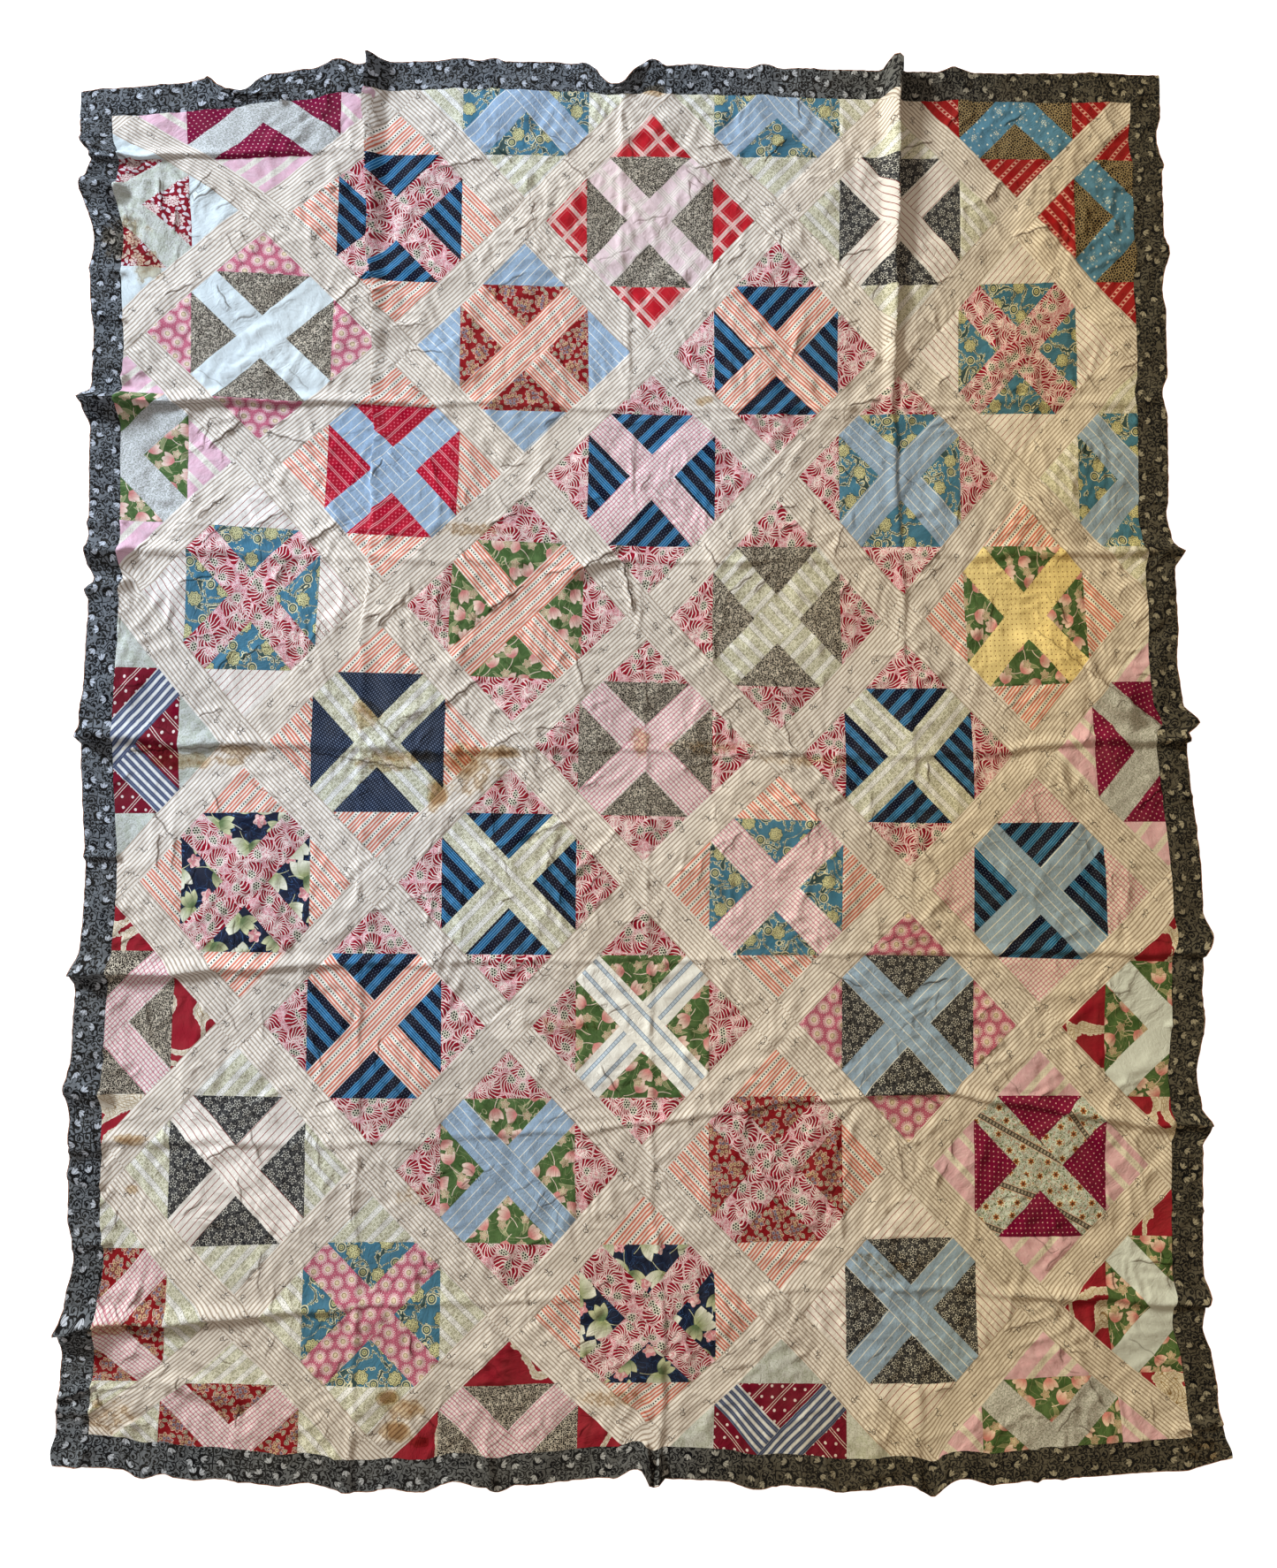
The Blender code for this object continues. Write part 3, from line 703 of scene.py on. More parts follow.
# %% Cells and their two triangles
# Names that end in _e and _w hold places along the seams to the northeast and the northwest.
# Cells whose middle lies on the field's edge are kept, within EDGE_SPARE, and cut in half.
EDGE_SPARE = PITCH / 60
count = len(lines)
cell_e, cell_w = np.meshgrid(np.arange(count - 1), np.arange(count - 1), indexing="ij")
cell_e, cell_w = cell_e.ravel(), cell_w.ravel()
mid_e = (lines[cell_e] + lines[cell_e + 1]) / 2
mid_w = (lines[cell_w] + lines[cell_w + 1]) / 2
reach_side = BLOCKS_TO_SIDE * PITCH * DIAGONAL
reach_head = BLOCKS_TO_HEAD * PITCH * DIAGONAL
cell_right = (mid_e - mid_w) / DIAGONAL
cell_up = (mid_e + mid_w) / DIAGONAL
kept = np.abs(cell_right) < reach_side + EDGE_SPARE
kept &= np.abs(cell_up) < reach_head + EDGE_SPARE
cell_e, cell_w, cell_right, cell_up, mid_e, mid_w = (
    a[kept] for a in (cell_e, cell_w, cell_right, cell_up, mid_e, mid_w)
)
local_e = mid_e - PITCH * np.round(mid_e / PITCH)
local_w = mid_w - PITCH * np.round(mid_w / PITCH)
on_side = np.abs(np.abs(cell_right) - reach_side) < CLOSE
on_head = np.abs(np.abs(cell_up) - reach_head) < CLOSE
split_upright = (on_side | (local_e * local_w < 0)) & ~on_head


def node(east, west):
    return east * count + west


c00, c10 = node(cell_e, cell_w), node(cell_e + 1, cell_w)
c11, c01 = node(cell_e + 1, cell_w + 1), node(cell_e, cell_w + 1)
first = np.where(split_upright, [c00, c10, c11], [c00, c10, c01]).T
second = np.where(split_upright, [c00, c11, c01], [c10, c11, c01]).T
triangles = np.concatenate([first, second])
tri_e = lines[triangles // count]
tri_w = lines[triangles % count]
middle_e, middle_w = tri_e.mean(1), tri_w.mean(1)
inside = (np.abs(middle_e - middle_w) / DIAGONAL < reach_side) & (
    np.abs(middle_e + middle_w) / DIAGONAL < reach_head
)
triangles, tri_e, tri_w = triangles[inside], tri_e[inside], tri_w[inside]
middle_e, middle_w = middle_e[inside], middle_w[inside]
print(len(triangles), "triangles in the field's face")

# %% Which patch each triangle belongs to
# Patches are numbered by kind: 0 and 1 sashing along northeast and northwest, 2 its corner
# squares, 3 the whole strip of a cross, 4 and 5 its half strips, then the four inner and the
# four outer triangles, each in the order top, left, bottom, right.
SASH_EAST, SASH_WEST, CORNER_SQUARE, WHOLE_STRIP, HALF_STRIP, INNER, OUTER = 0, 1, 2, 3, 4, 6, 10
KINDS = 14
ne = np.round(middle_e / PITCH).astype(int)
nw = np.round(middle_w / PITCH).astype(int)
in_e, in_w = middle_e - ne * PITCH, middle_w - nw * PITCH
beyond_e, beyond_w = np.abs(in_e) > BLOCK / 2, np.abs(in_w) > BLOCK / 2
quarter = np.select(
    [(in_e > 0) & (in_w > 0), (in_e < 0) & (in_w > 0), (in_e < 0) & (in_w < 0)], [0, 1, 2], 3
)

# %% [markdown]
# ## The blocks and their cloths
# Here is the whole top as a table, block by block from the head down. row and column count
# blocks from the middle. Each block has three cloths: the inner triangles, the cross and the
# outer triangles. lean is +1 where the whole strip of the cross runs up to the right. turned
# names the patches whose print is turned a quarter from the usual way.

# %% Table of blocks
Block = namedtuple("Block", "row column inner cross outer lean turned", defaults=[""])
BLOCKS = [
    Block(+2.5, -1.5, "maroon_dot", "lace_grey", "pink_stripe", +1),
    Block(+2.5, -0.5, "teal_floral", "chambray", "cream_floral", -1),
    Block(+2.5, +0.5, "teal_floral", "chambray", "cream_floral", -1),
    Block(+2.5, +1.5, "brown_net", "blue_sprig", "red_chain", +1),
    Block(+2.0, -2.0, "red_flower", "sage_leaf", "white_plain", -1),
    Block(+2.0, -1.0, "navy_stripe", "red_fan", "coral_stripe", +1),
    Block(+2.0, +0.0, "brown_vermicular", "pink_plaid", "red_plaid", -1),
    Block(+2.0, +1.0, "charcoal_flower", "cream_redline", "cream_floral", -1),
    Block(+2.0, +2.0, "brown_net", "blue_sprig", "red_chain", +1),
    Block(+1.5, -1.5, "brown_vermicular", "white_plain", "pink_mum", +1),
    Block(+1.5, -0.5, "red_paisley", "coral_stripe", "chambray", +1),
    Block(+1.5, +0.5, "navy_stripe", "coral_stripe", "red_fan", -1),
    Block(+1.5, +1.5, "teal_floral", "red_fan", "cream_redline", +1),
    Block(+1.0, -2.0, "green_tulip", "lace_grey", "pink_stripe", -1),
    Block(+1.0, -1.0, "red_dotstripe", "chambray", "coral_stripe", +1, "cross"),
    Block(+1.0, +0.0, "navy_stripe", "pink_grid", "red_fan", +1),
    Block(+1.0, +1.0, "teal_floral", "chambray", "red_fan", +1),
    Block(+1.0, +2.0, "teal_floral", "chambray", "cream_floral", -1),
    Block(+0.5, -1.5, "teal_floral", "red_fan", "cream_redline", -1),
    Block(+0.5, -0.5, "green_tulip", "coral_stripe", "red_fan", +1),
    Block(+0.5, +0.5, "brown_vermicular", "cream_floral", "red_fan", +1, "cross"),
    Block(+0.5, +1.5, "green_tulip", "yellow_dot", "coral_stripe", +1),
    Block(+0.0, -2.0, "maroon_stripe_dot", "shirting", "sage_leaf", +1),
    Block(+0.0, -1.0, "navy_dash", "cream_floral", "coral_stripe", -1),
    Block(+0.0, +0.0, "brown_vermicular", "pink_grid", "red_fan", +1),
    Block(+0.0, +1.0, "navy_stripe", "cream_floral", "red_fan", +1),
    Block(+0.0, +2.0, "maroon_dot", "lace_grey", "pink_stripe", -1),
    Block(-0.5, -1.5, "navy_lily", "red_fan", "coral_stripe", +1),
    Block(-0.5, -0.5, "navy_stripe", "cream_floral", "red_fan", -1),
    Block(-0.5, +0.5, "teal_floral", "pink_grid", "coral_stripe", +1, "outer"),
    Block(-0.5, +1.5, "navy_stripe", "chambray", "pink_grid", -1),
    Block(-1.0, -2.0, "brown_vermicular", "pink_grid", "red_branch", +1),
    Block(-1.0, -1.0, "navy_stripe", "coral_stripe", "red_fan", +1),
    Block(-1.0, +0.0, "green_tulip", "white_bluestripe", "red_fan", -1),
    Block(-1.0, +1.0, "charcoal_flower", "chambray", "pink_mum", -1),
    Block(-1.0, +2.0, "green_tulip", "white_plain", "red_branch", +1),
    Block(-1.5, -1.5, "charcoal_flower", "cream_redline", "cream_floral", -1),
    Block(-1.5, -0.5, "green_tulip", "chambray", "red_fan", -1),
    Block(-1.5, +0.5, "red_paisley", "red_fan", "coral_stripe", +1),
    Block(-1.5, +1.5, "maroon_dot", "mint_floral", "pink_stripe", -1),
    Block(-2.0, -2.0, "red_paisley", "pink_grid", "cream_floral", -1),
    Block(-2.0, -1.0, "teal_floral", "pink_mum", "cream_floral", +1),
    Block(-2.0, +0.0, "navy_lily", "red_fan", "coral_stripe", -1),
    Block(-2.0, +1.0, "charcoal_flower", "chambray", "cream_redline", -1),
    Block(-2.0, +2.0, "green_tulip", "white_plain", "red_branch", +1),
    Block(-2.5, -1.5, "red_paisley", "pink_grid", "cream_floral", -1),
    Block(-2.5, -0.5, "brown_vermicular", "pink_grid", "red_branch", -1),
    Block(-2.5, +0.5, "maroon_stripe_dot", "shirting", "sage_leaf", +1),
    Block(-2.5, +1.5, "green_tulip", "lace_grey", "pink_stripe", +1),
]
CLOTHS = sorted({cloth for block in BLOCKS for cloth in (block.inner, block.cross, block.outer)})
CLOTHS.append("sash_stripe")
print(len(BLOCKS), "blocks of", len(CLOTHS), "cloths")

# %% Deal the cloths to the patches
GRID_MIDDLE = 5
GRID = (2 * GRID_MIDDLE + 1, 2 * GRID_MIDDLE + 1)
PARTS = ("inner", "cross", "outer")
lean_at = np.ones(GRID, int)
cloth_at = np.full((*GRID, len(PARTS)), CLOTHS.index("sash_stripe"))
turned_at = np.zeros((*GRID, len(PARTS)), bool)
number_at = np.full(GRID, -1)
for number, block in enumerate(BLOCKS):
    spot = (
        int(block.column + block.row) + GRID_MIDDLE,
        int(block.row - block.column) + GRID_MIDDLE,
    )
    lean_at[spot] = block.lean
    number_at[spot] = number
    for part, name in enumerate(PARTS):
        cloth_at[spot][part] = CLOTHS.index(getattr(block, name))
        turned_at[spot][part] = name == block.turned
cell_of = (ne + GRID_MIDDLE, nw + GRID_MIDDLE)
lean = lean_at[cell_of]
whole = np.where(lean > 0, np.abs(in_w), np.abs(in_e)) < STRIP / 2
half_strip = np.where(lean > 0, np.abs(in_e), np.abs(in_w)) < STRIP / 2
half_end = (np.where(lean > 0, in_w, in_e) > 0).astype(int)
is_outer = np.abs(in_e) + np.abs(in_w) > STRIP / 2 + BLOCK / 2
kind = np.select(
    [beyond_e & beyond_w, beyond_w, beyond_e, whole, half_strip, is_outer],
    [CORNER_SQUARE, SASH_EAST, SASH_WEST, WHOLE_STRIP, HALF_STRIP + half_end, OUTER + quarter],
    INNER + quarter,
)
part = np.select([kind >= OUTER, kind >= INNER], [2, 0], 1)
is_sash = kind <= CORNER_SQUARE
fabric = np.where(is_sash, CLOTHS.index("sash_stripe"), cloth_at[(*cell_of, part)])
block_number = number_at[cell_of]
print("patches of each kind:", np.bincount(kind, minlength=KINDS).tolist())

# %% Grain: how each patch was cut from its cloth
# The print of a patch is laid out in millimetres across and along its own grain, which starts
# at another place of the cloth for every patch. Stripes are cut nearly straight, and prints
# with no direction at any angle. The strips of a cross are cut with their print in the middle.
SHIFT = 0.3
CENTRED_SHARE = 0.02
STRAIGHT_ERROR = 0.02
PATCH_SEED = 5
PATCH_GRID_MIDDLE = 12
ANY_WAY = [
    "brown_vermicular", "green_tulip", "maroon_dot", "mint_floral", "navy_lily", "pink_mum",
    "red_branch", "red_fan", "red_flower", "red_paisley", "sage_leaf", "teal_floral",
]
chance = np.random.default_rng(PATCH_SEED)
patch_chance = chance.random((2 * PATCH_GRID_MIDDLE, 2 * PATCH_GRID_MIDDLE, KINDS, 4))
centre_e = 2 * ne + np.where(beyond_e, np.sign(in_e), 0).astype(int)
centre_w = 2 * nw + np.where(beyond_w, np.sign(in_w), 0).astype(int)
patch = patch_chance[centre_e + PATCH_GRID_MIDDLE, centre_w + PATCH_GRID_MIDDLE, kind]
runs_east = np.select(
    [kind == SASH_EAST, kind == SASH_WEST, kind == CORNER_SQUARE, kind == WHOLE_STRIP],
    [True, False, patch[:, 3] > 0.5, lean > 0],
    np.where(kind < INNER, lean < 0, quarter % 2 == 0),
)
runs_east = runs_east ^ (turned_at[(*cell_of, part)] & ~is_sash)
any_way = np.isin(fabric, [CLOTHS.index(name) for name in ANY_WAY])
tilt = np.where(any_way, 2 * math.pi, STRAIGHT_ERROR) * (patch[:, 2] - 0.5)
from_e = tri_e - (centre_e * PITCH / 2)[:, None]
from_w = tri_w - (centre_w * PITCH / 2)[:, None]
across = np.where(runs_east[:, None], from_w, from_e)
onward = np.where(runs_east[:, None], from_e, from_w)
cos_tilt, sin_tilt = np.cos(tilt)[:, None], np.sin(tilt)[:, None]
centred = np.isin(kind, (WHOLE_STRIP, HALF_STRIP, HALF_STRIP + 1))[:, None]
shift_u = SHIFT * (patch[:, 0:1] - 0.5) * np.where(centred, CENTRED_SHARE, 1.0)
grain_u = 1000 * (across * cos_tilt - onward * sin_tilt + shift_u)
grain_v = 1000 * (across * sin_tilt + onward * cos_tilt + SHIFT * (patch[:, 1:2] - 0.5))


# %% Distance to the nearest seam, at every corner of every triangle
def seam_distance():
    e = tri_e - (ne * PITCH)[:, None]
    w = tri_w - (nw * PITCH)[:, None]
    size_e, size_w = np.abs(e), np.abs(w)
    frame_seam = np.minimum(np.abs(size_e - BLOCK / 2), np.abs(size_w - BLOCK / 2))
    long_side = np.where(lean[:, None] > 0, size_w, size_e)
    short_side = np.where(lean[:, None] > 0, size_e, size_w)
    strip = np.abs(long_side - STRIP / 2)
    beside = np.abs(short_side - STRIP / 2)
    slant = np.abs(size_e + size_w - STRIP / 2 - BLOCK / 2) / DIAGONAL
    shut = kind[:, None]
    cross = np.where(shut == WHOLE_STRIP, strip, np.minimum(strip, beside))
    nearest = np.where(shut >= INNER, np.minimum(cross, slant), cross)
    return np.where(shut <= CORNER_SQUARE, frame_seam, np.minimum(frame_seam, nearest))


seam = seam_distance()

# %% The field's points in space
SHEET = 0.0012
SEAM_SINK = 0.0001
SEAM_REACH = 0.005
PUFF = 0.0003
PUFF_REACH = 0.020
FOLD_MARK_REACH = 0.010
FOLD_MARK_HEIGHT = 0.012
FOLD_MARK_DEPTH = 0.4
FOLD_MARK_BREAKS = 0.06
used = np.unique(triangles)
flat_s = (lines[used // count] - lines[used % count]) / DIAGONAL * TO_ACROSS
flat_t = (lines[used // count] + lines[used % count]) / DIAGONAL * TO_UP
node_seam = np.full(count * count, 1.0)
np.minimum.at(node_seam, triangles.ravel(), seam.ravel())


def fold_shade_lines(s, t):
    """The distance to the painted shadow line at the foot of the nearest storage fold, and its depth."""
    gap, dark = np.full_like(s, FOLD_MARK_REACH), np.zeros_like(s)
    broken = soft_noise(s, t, FOLD_MARK_BREAKS, 51)
    runs = [(fold, s, down_fold, t) for fold in LONG_FOLDS]
    runs += [(fold, t, across_fold, s) for fold in CROSS_FOLDS]
    for fold, place, read, far_along in runs:
        steep = read(fold.steep, far_along)
        narrow = read(fold.half, far_along) * (1.0 - SHARP_SIDE * np.abs(steep)) * 0.7
        strayed = wander(far_along + (fold.places[0] if read is across_fold else 0.0))
        foot = (place - read(fold.places, far_along) - strayed) * np.sign(steep) - narrow
        reach = HEAD if read is down_fold else SIDE
        high = fold_height(fold.heights, -t if read is down_fold else s, reach)
        plain = eased(high / FOLD_MARK_HEIGHT) * eased(2.6 * broken - 0.7) * FOLD_MARK_DEPTH
        plain = plain * eased(2.0 - np.abs(foot) / (FOLD_MARK_REACH / 2))
        closer = plain > dark
        gap, dark = np.where(closer, foot, gap), np.where(closer, plain, dark)
    return gap, dark


def cloth_height(s, t, x, y, from_seam):
    """Height of the cloth's face over the floor, with folds, creases, seams and puffed patches."""
    high = lift(s, t) + swell(x, y) + creases(x, y)[0] + SHEET + SEAM_SINK
    high -= SEAM_SINK * bell(from_seam, SEAM_REACH)
    return high + PUFF * eased(from_seam / PUFF_REACH)


field_x, field_y = floor_place(flat_s, flat_t)
points = np.zeros((count * count, 3))
points[used, 0] = field_x
points[used, 1] = field_y
points[used, 2] = cloth_height(flat_s, flat_t, field_x, field_y, node_seam[used])
print("the field's face is", [round(float(v), 4) for v in np.ptp(points[used], axis=0)], "m")

# %% [markdown]
# ## Wear and painted shade
# The cotton has yellowed towards its right and lower side, and the same tone, darker and warmer
# there, also paints the shade of the dimmer light on that side. Water and rust have left brown
# marks, most of them on the folds; one under a fold at the lower left is partly painted shade. A
# painted image would copy them; here they are a short list of soft blots by their place in the
# photograph, broken up by noise. The materials read them from the mesh, two numbers to an
# attribute: marks holds the brown marks and the yellowing with its painted shade, crease the
# distance to the painted shadow line at the foot of a crease or fold and how dark it is, and
# seam the distance to a seam and a chance of its own for every patch.

# %% Table of stains, and one partly painted shade
StainAndShade = namedtuple("StainAndShade", "x y wide high depth")
STAINS_AND_SHADE = [
    StainAndShade(416, 807, 18, 20, 0.62), StainAndShade(497, 899, 12, 20, 0.90),
    StainAndShade(524, 863, 22, 22, 0.72), StainAndShade(563, 852, 36, 8, 0.70),
    StainAndShade(466, 857, 48, 8, 0.66), StainAndShade(530, 880, 54, 30, 0.36),
    StainAndShade(440, 862, 40, 16, 0.42), StainAndShade(540, 600, 60, 12, 0.40),
    StainAndShade(215, 862, 60, 12, 0.62), StainAndShade(170, 848, 40, 9, 0.50),
    StainAndShade(270, 850, 34, 8, 0.44), StainAndShade(441, 1580, 14, 10, 0.84),
    StainAndShade(462, 1592, 26, 14, 0.66), StainAndShade(450, 1618, 18, 12, 0.80), StainAndShade(476, 1630, 14, 9, 0.60),
    StainAndShade(130, 1600, 46, 22, 0.34), StainAndShade(724, 838, 12, 20, 0.50),
    # The blot at (130, 1500), under the fold at the lower left, is partly painted shade.
    StainAndShade(130, 1500, 30, 12, 0.60), StainAndShade(148, 1288, 26, 8, 0.66),
    StainAndShade(152, 1346, 10, 7, 0.50), StainAndShade(112, 1586, 8, 8, 0.60),
    StainAndShade(800, 846, 60, 9, 0.38), StainAndShade(930, 862, 80, 9, 0.40),
    StainAndShade(140, 270, 26, 30, 0.50), StainAndShade(172, 305, 16, 22, 0.55),
    StainAndShade(1360, 1640, 30, 20, 0.36), StainAndShade(690, 1580, 50, 14, 0.36),
    StainAndShade(1000, 1430, 50, 20, 0.34), StainAndShade(640, 1160, 50, 14, 0.34),
    StainAndShade(740, 105, 16, 8, 0.60), StainAndShade(795, 455, 14, 8, 0.60),
    StainAndShade(1345, 845, 20, 12, 0.40), StainAndShade(470, 1350, 40, 14, 0.30),
]

# %% Wear and painted shade at a place
# The cloth's yellowing at the middle, with the painted warm shade of the dimmer light to the
# right and the foot, and its growth for each metre: to the right, right of a line, towards the
# foot, and towards the lower left below the same line.
AGE_AND_SHADE_MIDDLE = 0.30
AGE_AND_SHADE_RIGHT = 0.42
AGE_AND_SHADE_FAR_RIGHT = 0.90
AGE_AND_SHADE_DOWN = 0.18
AGE_AND_SHADE_LOWER_LEFT = 0.20
AGE_AND_SHADE_LINE = 0.05
AGE_AND_SHADE_UNEVEN = 0.35


def wear_and_shade_at(x, y, s, t):
    """Brown marks and yellowing with painted warm shade at places on the floor, each from 0 to 1, and
    the painted shadow lines of creases and folds.
    """
    brown = np.zeros_like(x)
    torn = soft_noise(x, y, 0.022, 31) * 0.6 + soft_noise(*turned(x, y, 0.7), 0.010, 32) * 0.4
    for darken in STAINS_AND_SHADE:
        middle = from_photo(darken.x, darken.y)
        side = from_photo(darken.x + darken.wide, darken.y + darken.high)
        wide, high = side[0] - middle[0], side[1] - middle[1]
        share = np.hypot((x - middle[0]) / wide, (y - middle[1]) / high)
        brown = np.maximum(brown, darken.depth * eased(1.35 - share + 0.9 * (torn - 0.5)))
    slow = soft_noise(*turned(x, y, 0.5), 0.24, 33)
    # Partly yellowing, partly painted warm shade: darker and warmer to the right and the foot.
    age_and_shade = AGE_AND_SHADE_MIDDLE + AGE_AND_SHADE_RIGHT * x + AGE_AND_SHADE_FAR_RIGHT * np.maximum(x - AGE_AND_SHADE_LINE, 0.0) - AGE_AND_SHADE_DOWN * y
    age_and_shade = age_and_shade + AGE_AND_SHADE_LOWER_LEFT * np.maximum(-AGE_AND_SHADE_LINE - y, 0.0) * (0.5 - x)
    yellowing_and_shade = np.clip(age_and_shade + AGE_AND_SHADE_UNEVEN * (slow - 0.5), 0.0, 1.0)
    gap, dark = creases(x, y)[1:]
    fold_gap, fold_dark = fold_shade_lines(s, t)
    by_fold = fold_dark > dark
    gap, dark = np.where(by_fold, fold_gap, gap), np.where(by_fold, fold_dark, dark)
    return np.stack([brown, yellowing_and_shade, 1000 * gap, dark], axis=-1)


wear_and_shade_points = np.zeros((count * count, 4))
wear_and_shade_points[used] = wear_and_shade_at(field_x, field_y, flat_s, flat_t)


# %% [markdown]
# ## Making a piece of cloth
# Each piece starts as the open face of the cloth, cut from the net, and Solidify gives it its
# thickness downwards, so that faces of neighbours still meet exactly on the seam.

# %% One piece of cloth
RIM_ANGLE = math.radians(72)


def sew(name, corners, places, mats, slots, grain, wear_and_shade, toss, from_seam):
    """One thin cloth: its triangles as corner numbers of places, with what its prints read."""
    numbers, renumbered = np.unique(corners, return_inverse=True)
    mesh = bpy.data.meshes.new(name)
    mesh.from_pydata(places[numbers].tolist(), [], renumbered.reshape(-1, 3).tolist())
    for material in mats:
        mesh.materials.append(material)
    mesh.polygons.foreach_set("material_index", np.asarray(slots, np.int32))
    mesh.uv_layers.new(name="grain").data.foreach_set("uv", grain.reshape(-1))
    seam_and_toss = np.stack([1000 * from_seam, np.broadcast_to(toss, from_seam.shape)], axis=-1)
    marks = {"marks": wear_and_shade[..., :2], "crease": wear_and_shade[..., 2:], "seam": seam_and_toss}
    for label, values in marks.items():
        layer = mesh.attributes.new(label, "FLOAT2", "CORNER")
        layer.data.foreach_set("vector", values.reshape(-1))
    piece = bpy.data.objects.new(name, mesh)
    bpy.context.collection.objects.link(piece)
    thicken = piece.modifiers.new("thickness", "SOLIDIFY")
    thicken.thickness = SHEET
    thicken.offset = -1.0
    bpy.context.view_layer.objects.active = piece
    bpy.ops.object.modifier_apply(modifier=thicken.name)
    mesh.shade_smooth()
    mesh.set_sharp_from_angle(angle=RIM_ANGLE)
    return piece


# %% [markdown]
# ## Drafting the prints
# All prints are common ones of their time: stripes, shirtings, dots, sprigs and scrolls. They
# could be images, but an image would be a copy of this one cloth. Each is drafted with a few
# nodes instead, in millimetres on the grain. Value lets a pattern be written as a plain sum,
# and Draft holds what a textile designer would do: lay bands, spots, blooms and lines over a
# ground.

# %% Numbers on a node tree
class Value:
    """One number on a print's node tree, so that a pattern can be written as a plain sum."""

    def __init__(self, draft, socket):
        self.draft = draft
        self.socket = socket

    def math(self, operation, *others, clamp=False):
        return self.draft.math(operation, self, *others, clamp=clamp)

    def __add__(self, other):
        return self.math("ADD", other)

    def __sub__(self, other):
        return self.math("SUBTRACT", other)

    def __rsub__(self, other):
        return self.draft.math("SUBTRACT", other, self)

    def __mul__(self, other):
        return self.math("MULTIPLY", other)

    def __truediv__(self, other):
        return self.math("DIVIDE", other)

    def size(self):
        return self.math("ABSOLUTE")

    def wave(self):
        return self.math("COSINE")

    def whole(self):
        return self.math("FLOOR")

    def part(self):
        return self.math("FRACT")


# %% The drafting table
Cell = namedtuple("Cell", "u v reach angle chance")
Plot = namedtuple("Plot", "u v reach angle chance edge")


